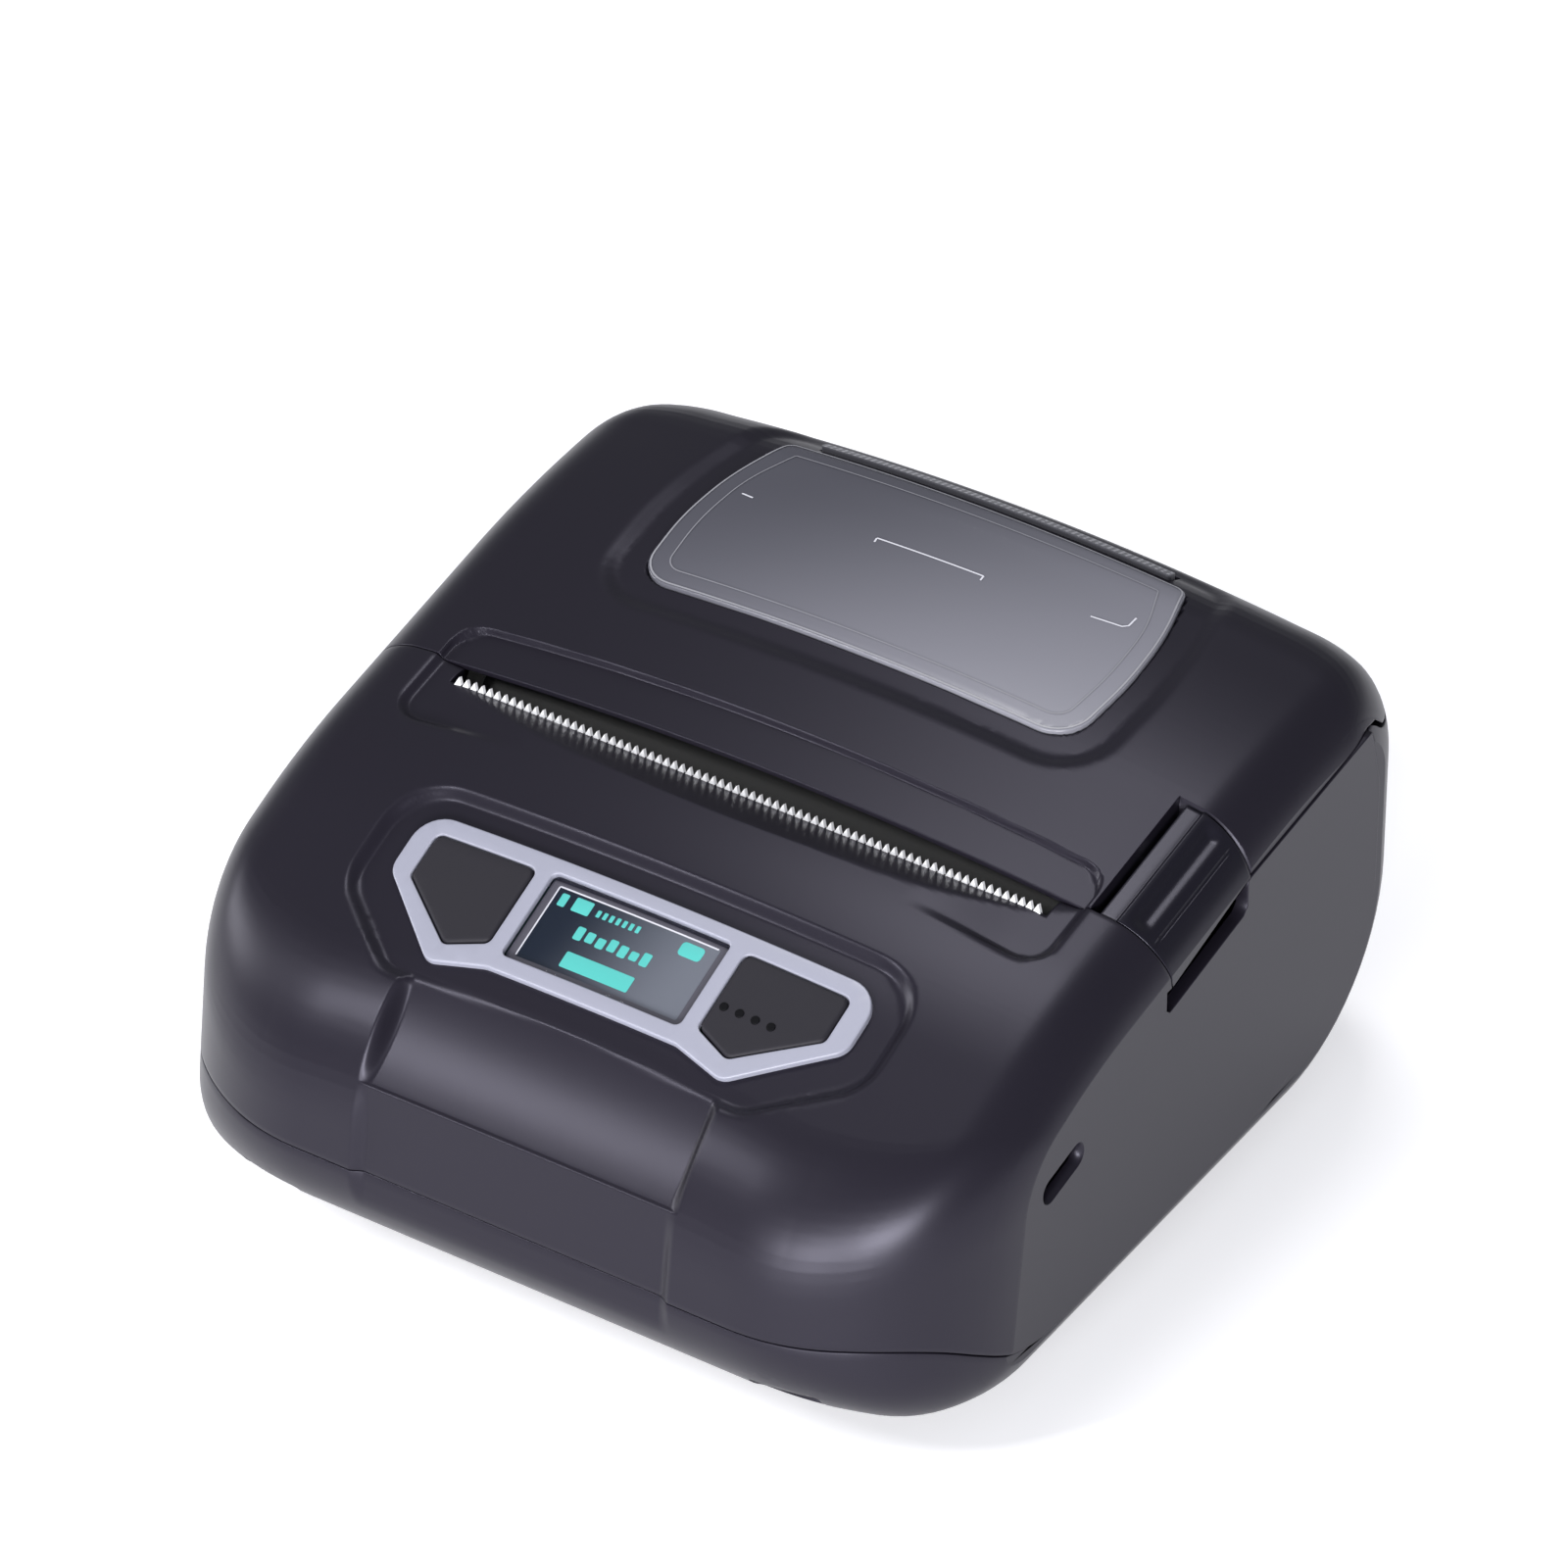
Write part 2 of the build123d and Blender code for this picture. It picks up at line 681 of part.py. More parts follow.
def release_lever():
    """Pull lever: a piece of the rounded lid edge on its own barrel, ribbed for grip."""
    cut = box(lever_inner_x, far, -far, lever_rear_y, skirt_front_z - 4, top_z)
    lever = skin & lid_zone & cut
    edge = lever_inner_x - lever_axis_x
    web = lever_block([(edge, -0.5), (edge, 3.0), (edge + 4.5, 3.0), (edge + 1.6, -0.5)],
                      lever_barrel_front_y, lever_barrel_end_y)
    barrel = lever_rod(lever_barrel_radius, lever_barrel_front_y, lever_barrel_end_y)
    lever = lever + ((web + barrel) & outer)
    for y_from in (lever_barrel_front_y - seam_gap - lever_ear_width, lever_barrel_rear_y + seam_gap):
        lever = lever - lever_rod(lever_barrel_radius + 0.1, y_from - 0.3, y_from + lever_ear_width + 0.3)
    lever = lever - lever_rod(lever_barrel_radius + 0.3, lever_barrel_end_y, lever_barrel_rear_y + 1)
    lever = lever - lever_rod(lever_pin_radius + running_gap, lever_barrel_front_y - 6, lever_barrel_rear_y + 6)
    return lever


def strip_prism(grow):
    """Plan prism of the ribbed strip between the window and the hinge."""
    half = strip_half_width + grow
    return plan_prism([(-half, strip_front_y - grow), (half, strip_front_y - grow),
                       (half, strip_rear_y + grow), (-half, strip_rear_y + grow)], [0.6] * 4,
                      lid_z - 8, top_z + 8)


def lid_hinge_strip():
    """Light strip let into the lid behind the window."""
    return layer(strip_prism(0), 0, body_solid(strip_thickness, 14))


def lid_window():
    """Clear window, crowned like the lid."""
    body = body_solid(window_sink, 14)
    return (window_prism(0) & body) - body_solid(window_sink + window_thickness, 14)


def lid_inner_frame():
    """Ribbed moulding inside the lid with the two arms that carry the platen."""
    front = exit_rear_y + 2.0
    rear = window_front_y - window_frame_width - 0.6
    beam_half = exit_half_width - 1.1
    beam = box(-beam_half, beam_half, front, rear, lid_z - 6.0, top_z)
    beam = beam & body_solid(lid_frame_depth, 14)
    pocket_count = 6
    pitch = 2 * beam_half / pocket_count
    for i in range(pocket_count):
        centre = -beam_half + pitch * (i + 0.5)
        beam = beam - box(centre - pitch / 2 + 1, centre + pitch / 2 - 1, front + 1.5, rear - 1.5,
                          lid_z - 7, lid_z - 2.0)
    for side in (-1, 1):
        inner = side * (bush_inner_x + 3.2)
        outer_x = side * (bush_outer_x - 0.2)
        x_from, x_to = min(inner, outer_x), max(inner, outer_x)
        arm = side_prism([(platen_y - 4.6, platen_z - 4.2), (platen_y + 4.6, platen_z - 4.2),
                          (rear, lid_z - 6.5), (rear, lid_z - 3), (front - 5, lid_z - 4.5),
                          (platen_y - 4.6, platen_z + 4.6)], x_from, x_to)
        beam = beam + (arm & body_solid(lid_frame_depth, 14))
        beam = beam - rod_x(platen_y, platen_z, bush_radius, x_from - 1, x_to + 1)
    return beam


def bottom_shell():
    """Lower moulding with the rear wall, bosses, posts and hinge ears."""
    shell = (skin & lower_zone) - hinge_relief
    shell = shell - scoop
    parts = []
    for x in (-boss_x, boss_x):
        parts.append(rod_z(x, boss_front_y, boss_radius, foot_height, board_z - 6 - seam_gap) & outer)
        parts.append(rod_z(x, boss_rear_y, boss_radius, foot_height, tub_z - tub_radius - 3) & outer)
    post_top = chassis_base_z
    for x in (-52.0, 52.0):
        for y in (-15.6, 8.4):
            parts.append(rod_z(x, y, 2.6, foot_height, post_top) & outer)
    for side in (-1, 1):
        ear_x = side * (hinge_barrel_half_length + hinge_ear_width / 2 + seam_gap)
        x_from, x_to = ear_x - hinge_ear_width / 2, ear_x + hinge_ear_width / 2
        ear = rod_x(hinge_y, hinge_z, hinge_ear_radius, x_from, x_to)
        stem = side_prism([(hinge_y - 2.4, hinge_z), (hinge_y - 2.4, hinge_z - 10), (rear_y, hinge_z - 20),
                           (rear_y, hinge_z - 9.5), (hinge_y + 1.2, hinge_z - 7.4),
                           (hinge_y + 1.2, hinge_z - 1)], x_from, x_to)
        ear = (ear + stem) & outer
        ear = ear - rod_x(hinge_y, hinge_z, hinge_pin_radius, x_from - 1, x_to + 1)
        parts.append(ear)
    for x in (-cover_screw_x, cover_screw_x):
        parts.append(rod_z(x, battery_y, 2.9, foot_height, foot_height + 7.4))
    shell = shell + parts
    shell = shell - battery_frame(1.0, foot_height - 2, foot_height + wall + 1)
    shell = shell - battery_frame(battery_cover_rim + 0.2, foot_height - 2,
                                  foot_height + battery_cover_thickness + 0.05)
    for x in (-cover_screw_x, cover_screw_x):
        shell = shell - rod_z(x, battery_y, cover_screw_radius - 0.1, foot_height, foot_height + 6.4)
    for x in (-boss_x, boss_x):
        for y in (boss_front_y, boss_rear_y):
            shell = shell - rod_z(x, y, screw_radius + 0.2, -1, board_z)
            shell = shell - rod_z(x, y, screw_head_radius + 0.2, -1, foot_height + 3.0)
    for x in (-foot_x, foot_x):
        for y in (foot_front_y, foot_rear_y):
            shell = shell - rod_z(x, y, foot_radius + 0.1, -1, foot_height + foot_recess)
    for side in (-1, 1):
        slot_x = side * 49.5
        slot = box(slot_x - 6, slot_x + 6, front_y - 5, front_y + 14, 8.0, 11.0)
        shell = shell - slot
    return shell


cover_screw_x = battery_length / 2 + 4.0
cover_screw_radius = 0.9
cover_screw_head = 1.8


def battery_frame(grow, z_from, z_to):
    """Rounded block around the pack's outline in plan."""
    half_x, half_y = battery_length / 2 + grow, battery_depth / 2 + 0.7 * grow
    points = [(-half_x, battery_y - half_y), (half_x, battery_y - half_y),
              (half_x, battery_y + half_y), (-half_x, battery_y + half_y)]
    return plan_prism(points, [2.0] * 4, z_from, z_to)


def battery_cover():
    """Flat cover of the battery well, flush with the base."""
    cover = battery_frame(battery_cover_rim, foot_height, foot_height + battery_cover_thickness)
    for x in (-cover_screw_x, cover_screw_x):
        cover = cover - rod_z(x, battery_y, cover_screw_radius + 0.15, 0, 5)
        cover = cover - rod_z(x, battery_y, cover_screw_head + 0.15, 0, foot_height + 0.6)
    return cover


def cover_screws():
    """Two small screws of the battery cover."""
    screws = []
    for x in (-cover_screw_x, cover_screw_x):
        screw = rod_z(x, battery_y, cover_screw_head, foot_height, foot_height + 0.55)
        screw = screw + rod_z(x, battery_y, cover_screw_radius - 0.1, foot_height + 0.5, foot_height + 5.6)
        screws.append(screw - rod_z(x, battery_y, 0.6, 0, foot_height + 1.2))
    return screws


def button_bezel():
    """Silver frame that lies in the pocket round the keys and the display."""
    frame = layer(panel_prism(bezel_outline, bezel_radii, -9, 9), pocket_depth - bezel_thickness,
                  pocket_floor)
    for side in (-1, 1):
        frame = frame - panel_prism(key_outline(side, 0), key_radii, -14, 6)
    return frame - panel_prism(display_outline, [1.2] * 4, -14, 6)


def key(side):
    """One rubber key with its stem, standing a little above the frame."""
    cap = layer(panel_prism(key_outline(side, key_gap), key_radii, -9, 9), 0.35, body_solid(2.6, 10))
    stem = panel_prism([(side * 26, 2.5), (side * 32, 2.5), (side * 32, -3), (side * 26, -3)],
                       [0.5] * 4, -switch_top_depth + 0.2, -2.2)
    return cap + stem


switch_top_depth = 6.0
key_board_depth = 9.0


def display_lens():
    """Clear cover of the display, seated in the frame's opening."""
    shrunk = [(u * 0.985, v * 0.985) for u, v in display_outline]
    return layer(panel_prism(shrunk, [1.0] * 4, -9, 9), 0.8, body_solid(0.8 + lens_thickness, 14))


def display_module():
    """Display glass on its small carrier, under the lens."""
    glass = panel_prism([(-16.0, 7.9), (-16.0, -7.4), (16.0, -7.4), (16.0, 7.9)], [0.3] * 4, -4.0, -2.3)
    carrier = panel_prism([(-13.0, 6.0), (-13.0, -6.0), (13.0, -6.0), (13.0, 6.0)], [0.3] * 4,
                          -key_board_depth + board_thickness, -4.0)
    return glass + carrier


def key_board():
    """Small board under the panel."""
    return panel_prism([(-42, 9), (-42, -4), (-24, -9.5), (24, -9.5), (42, -4), (42, 9)], [1.0] * 6,
                       -key_board_depth, -key_board_depth + board_thickness)


def key_switches():
    """Two tactile switches."""
    switches = []
    for side in (-1, 1):
        case = panel_prism([(side * 26, 2.8), (side * 32, 2.8), (side * 32, -3.2), (side * 26, -3.2)],
                           [0.4] * 4, -key_board_depth + board_thickness, -switch_top_depth - key_travel - 0.1)
        switches.append(case)
    return switches


def tear_bar():
    """Serrated steel blade, leaning back with its teeth at the paper exit."""
    count = int(tear_length / tooth_pitch)
    span = count * tooth_pitch
    points = [(-tear_length / 2, -tear_height), (tear_length / 2, -tear_height),
              (tear_length / 2, -tooth_height), (span / 2, -tooth_height)]
    for i in range(count):
        right = span / 2 - i * tooth_pitch
        points.append((right - tooth_pitch / 2, 0))
        points.append((right - tooth_pitch, -tooth_height))
    points.append((-tear_length / 2, -tooth_height))
    lean = radians(tear_lean)
    plane = Plane(origin=(0, tear_y, tear_z), x_dir=(1, 0, 0), z_dir=(0, -cos(lean), sin(lean)))
    outline = Wire.make_polygon([Vector(x, y, 0) for x, y in points[:-1]], close=True)
    return extrude(plane * Face(outline), amount=tear_thickness)


# Gears

def gear_outline(teeth, module, phase):
    """Tooth outline as points: each tooth narrows from root to tip."""
    pitch_radius = module * teeth / 2
    steps = [(-0.31, -1.15), (-0.215, 0.0), (-0.12, 0.85), (0.12, 0.85), (0.215, 0.0), (0.31, -1.15)]
    points = []
    for i in range(teeth):
        for share, height in steps:
            angle = phase + 2 * pi * (i + share) / teeth
            radius = pitch_radius + height * module
            points.append((radius * cos(angle), radius * sin(angle)))
    return points


def gear_x(teeth, module, y, z, phase, x_from, x_to, bore):
    """Spur gear with its axis along X; angles are measured from +Y towards +Z."""
    points = gear_outline(teeth, module, phase)
    face = Face(Wire.make_polygon([Vector(x_from, y + p, z + q) for p, q in points], close=True))
    gear = Solid.extrude(face, Vector(x_to - x_from, 0, 0))
    return gear - rod_x(y, z, bore, x_from - 1, x_to + 1)


gear_from = -gear_inner_x - gear_width
gear_to = -gear_inner_x
platen_pitch = gear_module * platen_teeth / 2
idler_pitch = gear_module * idler_teeth / 2
pinion_pitch = gear_module * pinion_teeth / 2
centre_slack = 0.1
idler_aim = radians(-83)
idler_y = platen_y + (platen_pitch + idler_pitch + centre_slack) * cos(idler_aim)
idler_z = platen_z + (platen_pitch + idler_pitch + centre_slack) * sin(idler_aim)
pinion_reach = idler_pitch + pinion_pitch + centre_slack
pinion_y = motor_y
pinion_z = idler_z - sqrt(pinion_reach ** 2 - (idler_y - pinion_y) ** 2)
platen_phase = idler_aim
idler_phase = idler_aim + pi + pi / idler_teeth
pinion_aim = -acos((pinion_y - idler_y) / pinion_reach)
idler_offset = (pinion_aim - idler_phase) / (2 * pi / idler_teeth)
idler_offset = idler_offset - round(idler_offset)
pinion_phase = pinion_aim + pi + (0.5 + idler_offset) * 2 * pi / pinion_teeth


# Print mechanism

def platen_roller():
    """Rubber sleeve."""
    return (rod_x(platen_y, platen_z, platen_radius, -platen_half_length, platen_half_length)
            - rod_x(platen_y, platen_z, platen_shaft_radius, -far, far))


def platen_shaft():
    """Steel shaft that reaches through the left gear."""
    return rod_x(platen_y, platen_z, platen_shaft_radius, gear_from - 0.6, bush_outer_x + 0.6)


def platen_bushes():
    """Plain bushes in the lid's arms; their inner ends seat in the chassis."""
    bushes = []
    for shape in both_sides(rod_x(platen_y, platen_z, bush_radius, bush_inner_x, bush_outer_x)
                            - rod_x(platen_y, platen_z, platen_shaft_radius + running_gap, 0, far)):
        bushes.append(shape)
    return bushes


head_cos = cos(radians(head_angle))
head_sin = sin(radians(head_angle))


def head_point(along, depth):
    """Place beside the platen: along the paper path, and depth away from the roller."""
    away = platen_radius + head_gap + depth
    return (platen_y - head_cos * away - head_sin * along, platen_z - head_sin * away + head_cos * along)


def head_block(along_from, along_to, depth_from, depth_to, half_length):
    """Bar across the body, drawn in the head's own slope."""
    corners = [head_point(along_from, depth_from), head_point(along_to, depth_from),
               head_point(along_to, depth_to), head_point(along_from, depth_to)]
    return side_prism(corners, -half_length, half_length)


rod_y, rod_z_place = head_point(-rod_drop, rod_depth)


def print_head():
    """Ceramic plate with the raised element line."""
    plate = head_block(-head_below + 2, head_above, 0.25, 0.25 + head_plate_thickness, head_length / 2)
    return plate + head_block(-0.6, 0.6, 0.0, 0.3, head_length / 2 - 1)


def head_heat_sink():
    """Aluminium back plate with lugs round the rod."""
    depth = 0.25 + head_plate_thickness
    sink = head_block(-head_below, head_above, depth, depth + sink_thickness, sink_length / 2)
    lug_half = 6.0
    for x in (-sink_length / 2 + lug_half, sink_length / 2 - lug_half):
        lug = rod_x(rod_y, rod_z_place, rod_lug_radius, x - lug_half, x + lug_half)
        sink = sink + lug
    return sink - rod_x(rod_y, rod_z_place, rod_radius + running_gap, -far, far)


def head_pivot_rod():
    """Rod that crosses the chassis."""
    end = chassis_side_x + chassis_sheet / 2
    return rod_x(rod_y, rod_z_place, rod_radius, -end, end)


def mechanism_chassis():
    """Bent steel channel with two side plates, slotted for the platen bushes."""
    base = box(-chassis_side_x, chassis_side_x, chassis_front_y, chassis_rear_y - 0.5, chassis_base_z,
               chassis_base_z + chassis_sheet)
    front = box(-chassis_side_x, chassis_side_x, chassis_front_y, chassis_front_y + chassis_sheet,
                chassis_base_z, chassis_top_z - 3)
    chassis = base + front
    slot_half = bush_radius + 0.15
    for side in (-1, 1):
        x_from = side * chassis_side_x - chassis_sheet / 2
        x_to = side * chassis_side_x + chassis_sheet / 2
        plate = side_prism([(chassis_front_y, chassis_base_z), (chassis_rear_y + 2, chassis_base_z),
                            (chassis_rear_y + 2, platen_z + 1), (chassis_rear_y - 1, chassis_top_z - 1),
                            (chassis_front_y + 4, chassis_top_z), (chassis_front_y, chassis_top_z - 4)],
                           x_from, x_to)
        plate = plate - rod_x(platen_y, platen_z, slot_half, x_from - 1, x_to + 1)
        mouth = [(platen_y - slot_half * 0.98, platen_z - 0.5), (platen_y + slot_half, platen_z - 0.5),
                 (platen_y + slot_half + 0.5, chassis_top_z + 5),
                 (platen_y - slot_half - 2.6, chassis_top_z + 5)]
        plate = plate - side_prism(mouth, x_from - 1, x_to + 1)
        plate = plate - rod_x(rod_y, rod_z_place, rod_radius, x_from - 1, x_to + 1)
        chassis = chassis + plate
    chassis = chassis + box(chassis_side_x, catch_x, hook_y - 1, hook_y + 4, catch_z, catch_z + chassis_sheet)
    for x in (-30.0, 0.0, 30.0):
        chassis = chassis - box(x - 9, x + 9, chassis_front_y + 5, chassis_front_y + 11,
                                chassis_base_z - 1, chassis_base_z + 3)
    return chassis


def coil(start, direction, radius, wire, length, turns):
    """Open coil spring as one wire swept along a helix."""
    pitch = (length - 2 * wire) / turns
    path = Helix(pitch=pitch, height=pitch * turns, radius=radius - wire)
    section = Plane(origin=path @ 0, z_dir=path % 0) * RegularPolygon(wire, 6)
    spring = sweep(section, path=path, is_frenet=True)
    plane = Plane(origin=tuple(Vector(*start) + Vector(*direction).normalized() * wire),
                  z_dir=direction)
    return plane.location * spring


def head_springs():
    """Three coils between the chassis front and the heat sink."""
    springs = []
    back = 0.25 + head_plate_thickness + sink_thickness
    y_start, z_start = head_point(0.5, back)
    y_end = chassis_front_y + chassis_sheet
    length = (y_start - y_end) - spring_end_gap - spring_head_gap
    for x in (-36.0, 0.0, 36.0):
        springs.append(coil((x, y_end + spring_end_gap, z_start - 1.0), (0, 1, 0), spring_radius, spring_wire,
                            length, spring_turns))
    return springs


def idler_gear():
    """Large intermediate gear."""
    return gear_x(idler_teeth, gear_module, idler_y, idler_z, idler_phase, gear_from, gear_to,
                  idler_axle_radius + running_gap)


def platen_gear():
    """Gear on the platen's left end."""
    return gear_x(platen_teeth, gear_module, platen_y, platen_z, platen_phase, gear_from, gear_to,
                  platen_shaft_radius)


def motor_pinion():
    """Brass pinion."""
    return gear_x(pinion_teeth, gear_module, pinion_y, pinion_z, pinion_phase, gear_from, gear_to,
                  motor_shaft_radius)


def idler_axle():
    """Pin of the idler, riveted into the gear bracket."""
    pin = rod_x(idler_y, idler_z, idler_axle_radius, gear_from - 0.8, -bracket_x - 0.02)
    return pin + rod_x(idler_y, idler_z, idler_axle_radius + 1, gear_from - 1.6, gear_from - 0.3)


bracket_x = chassis_side_x + chassis_sheet / 2


def gear_bracket():
    """Steel plate below the left side plate; it holds the idler's axle and the motor."""
    x_from, x_to = -bracket_x, -bracket_x + chassis_sheet
    plate = side_prism([(chassis_front_y + 2, pinion_z - 9), (idler_y + 5, pinion_z - 9),
                        (idler_y + 5, chassis_base_z - 0.05), (chassis_front_y + 2, chassis_base_z - 0.05)],
                       x_from, x_to)
    return plate - rod_x(pinion_y, pinion_z, 3.0, -far, far)


def stepper_motor():
    """Round stepper motor with its front boss."""
    face_x = -bracket_x + chassis_sheet
    can = rod_x(pinion_y, pinion_z, motor_radius, face_x, face_x + motor_length)
    boss = rod_x(pinion_y, pinion_z, 2.8, -bracket_x - 0.4, face_x)
    return can + boss


def motor_shaft():
    """Shaft of the motor; it turns with the pinion."""
    return rod_x(pinion_y, pinion_z, motor_shaft_radius, gear_from - 0.4, -bracket_x - 0.5)


# Media compartment

def media_tub():
    """Half-round cradle for the roll, open above, with end walls and guide slots."""
    inner = rod_x(tub_y, tub_z, tub_radius, -tub_half_length + tub_wall, tub_half_length - tub_wall)
    walls = rod_x(tub_y, tub_z, tub_radius + tub_wall, -tub_half_length, tub_half_length)
    tub = walls - inner
    tub = tub - box(-far, far, -far, far, tub_rim_z, far)
    inside = box(-tub_half_length + tub_wall, tub_half_length - tub_wall,
                 tub_y - tub_radius, tub_y + tub_radius, tub_z, far)
    tub = tub - inside
    for y, side in ((rack_line(-1) - 2, -1), (rack_line(1) + 2, 1)):
        x_from, x_to = sorted((side * (guide_plate_x + 1.0), side * (guide_plate_x - guide_travel - 4.5)))
        tub = tub - box(x_from - 0.2, x_to + 0.2, y - 1.6, y + 1.6, rack_z, tub_z - 15)
    tub = tub - box(-chassis_side_x + 1.5, chassis_side_x - 1.5, tub_y - tub_radius - 5, tub_y - 15,
                    tub_z + 1.7, far)
    for x in (-boss_x, boss_x):
        boss = rod_z(x, boss_rear_y, boss_radius - 0.4, tub_z - tub_radius - 2.7, tub_z - 12)
        tub = tub + (boss - inner) - rod_z(x, boss_rear_y, screw_radius + 0.02, 0, tub_z - tub_radius + 4)
    floor_seat = box(-8, 8, tub_y - 3, tub_y + 3, tub_z - tub_radius - tub_wall - 0.6,
                     tub_z - tub_radius - 0.6)
    return tub + floor_seat - rod_z(0, tub_y, 1.5, 0, tub_z - tub_radius + 0.2)


def rack_line(side):
    """Y of a rack's pitch line: the left rack runs in front of the pinion."""
    return tub_y + side * rack_module * rack_pinion_teeth / 2


rack_tooth = pi * rack_module
rack_overlap = 8.0


def media_guide(side):
    """Sliding guide: plate, roll hub and the rack under the tub. Side is -1 left, 1 right."""
    x_in = side * guide_plate_x
    x_out = side * (guide_plate_x + guide_thickness / 2)
    x_from, x_to = min(x_in, x_out), max(x_in, x_out)
    plate = rod_x(tub_y, tub_z, guide_radius, x_from, x_to)
    plate = plate - rod_x(tub_y, tub_z, guide_hub_radius - 1.5, -far, far)
    hub_from, hub_to = sorted((x_in, side * (guide_plate_x - guide_hub_length)))
    hub = rod_x(tub_y, tub_z, guide_hub_radius, hub_from, hub_to)
    hub = hub - rod_x(tub_y, tub_z, guide_hub_radius - 1.5, -far, far)
    line = rack_line(side)
    neck_y = line + side * 2
    neck = box(x_from, x_to, neck_y - 1.2, neck_y + 1.2, rack_z + 0.2, tub_z - guide_radius + 3)
    rack_far = -side * (guide_travel - rack_overlap - 6)
    bar_from, bar_to = sorted((x_out, rack_far))
    bar = box(bar_from, bar_to, min(line + side * 1, line + side * 3.4), max(line + side * 1, line + side * 3.4),
              rack_z, rack_z + rack_height)
    teeth = rack_teeth(side, line, bar_from, bar_to)
    return plate + hub + neck + bar + teeth


def rack_teeth(side, line, bar_from, bar_to):
    """Rack teeth that face the pinion, as one toothed strip."""
    first = int((bar_from + 2) / rack_tooth) + 1
    last = int((bar_to - 2) / rack_tooth) - 1
    base = line + side * 1.05
    points = [(bar_from, base + side * 0.2), (bar_from, base)]
    for i in range(first, last + 1):
        centre = i * rack_tooth
        for share, height in ((-0.30, 1.0), (-0.215, 0.0), (-0.13, -0.85), (0.13, -0.85), (0.215, 0.0), (0.30, 1.0)):
            points.append((centre + share * rack_tooth, line + side * height * rack_module))
    points.append((bar_to, base))
    points.append((bar_to, base + side * 0.2))
    face = Face(Wire.make_polygon([Vector(x, y, rack_z) for x, y in points], close=True))
    return Solid.extrude(face, Vector(0, 0, rack_height))


def guide_pinion():
    """Small gear between the racks; a gap of it faces a rack tooth on each side."""
    points = gear_outline(rack_pinion_teeth, rack_module, -pi / 2 + pi / rack_pinion_teeth)
    face = Face(Wire.make_polygon([Vector(p, tub_y + q, rack_z) for p, q in points], close=True))
    return Solid.extrude(face, Vector(0, 0, rack_height)) - rod_z(0, tub_y, 1.5 + running_gap, 0, far)


def guide_pinion_pin():
    """Pin that holds the guide pinion below the tub."""
    pin = rod_z(0, tub_y, 1.5, rack_z - 1.2, tub_z - tub_radius)
    return pin + rod_z(0, tub_y, 2.8, rack_z - 1.2, rack_z - 0.2)


def paper_guide():
    """Chute plate that leads the paper from the tub to the platen."""
    y_rear = tub_y - tub_radius - tub_wall - 0.1
    points = [(platen_y + 3.0, platen_z - platen_radius - 3.6), (platen_y + 3.0, platen_z - platen_radius - 2.4),
              (y_rear, tub_z + 2.6), (y_rear, tub_z + 1.2)]
    return side_prism(points, -57.0, 57.0)


def paper_sensor():
    """Reflective sensor under the chute."""
    y, z = platen_y + 4.0, platen_z - platen_radius - 5.1
    return box(-4, 4, y - 2, y + 1.5, chassis_base_z + chassis_sheet, z)


# Electronics, power and fasteners

def main_board():
    """Printed circuit board above the battery."""
    board = plan_prism([(-64, -58), (64, -58), (64, -22), (-64, -22)], [3] * 4, board_z,
                       board_z + board_thickness)
    for x in (-boss_x, boss_x):
        board = board - rod_z(x, boss_front_y, boss_radius + 0.4, board_z - 1, board_z + 3)
    return board


def board_parts():
    """Processor, memory, driver chips, buzzer and connectors on the board."""
    top = board_z + board_thickness
    parts = [box(-12, 2, -48, -34, top, top + 1.4), box(8, 17, -46, -38, top, top + 1.2),
             box(-34, -22, -50, -42, top, top + 1.6), box(-40, -30, -34, -26, top, top + 4.5),
             box(22, 40, -30, -25, top, top + 5.0)]
    parts.append(rod_z(30, -44, 4.5, top, top + 4.0))
    return parts


def usb_port():
    """Metal charging socket behind the opening in the right wall."""
    inner = half_width - wall - 10.4
    plane = Plane(origin=(inner, port_y, port_z), x_dir=port_plane.x_dir, z_dir=(1, 0, 0))
    shell = extrude(plane * SlotOverall(9.4, 3.6), amount=8.6)
    hollow = extrude(plane.offset(1.5) * SlotOverall(8.6, 2.8), amount=9)
    tongue = extrude(plane.offset(1.2) * Rectangle(6.6, 0.7), amount=6.2)
    foot = box(inner - 1.5, inner + 3, port_y - 4, port_y + 4, board_z + board_thickness, port_z - 1.0)
    return (shell - hollow) + tongue + (foot - hollow)


def battery_pack():
    """Rechargeable pack under the board."""
    pack = box(-battery_length / 2, battery_length / 2, battery_y - battery_depth / 2,
               battery_y + battery_depth / 2, battery_z, battery_z + battery_height)
    return fillet(pack.edges().filter_by(Axis.Z), 2)


def battery_holder():
    """Tray that locates the pack on the base and carries the board's posts."""
    low = foot_height + wall + 0.02
    tray = battery_frame(1.6, low, battery_z + battery_height + 1.6)
    tray = tray - battery_frame(0.3, low - 1, battery_z + battery_height + 0.3)
    for x in (-cover_screw_x, cover_screw_x):
        tray = tray - rod_z(x, battery_y, 3.3, low - 1, low + 8)
    for x in (-battery_length / 2 - 6, battery_length / 2 + 6):
        tie = box(min(x, 0.85 * x), max(x, 0.85 * x), -36.8, -35.2, low, low + 8)
        tray = tray + tie + box(x - 0.8, x + 0.8, -53, -36, low, low + 8)
        for y in (-53.0, -36.0):
            tray = tray + rod_z(x, y, 3.0, low, board_z)
    return tray & body_solid(wall + 0.02, 14)


def rubber_feet():
    """Four round feet let into the base."""
    feet = []
    for x in (-foot_x, foot_x):
        for y in (foot_front_y, foot_rear_y):
            feet.append(rod_z(x, y, foot_radius, 0, foot_height + foot_recess))
    return feet


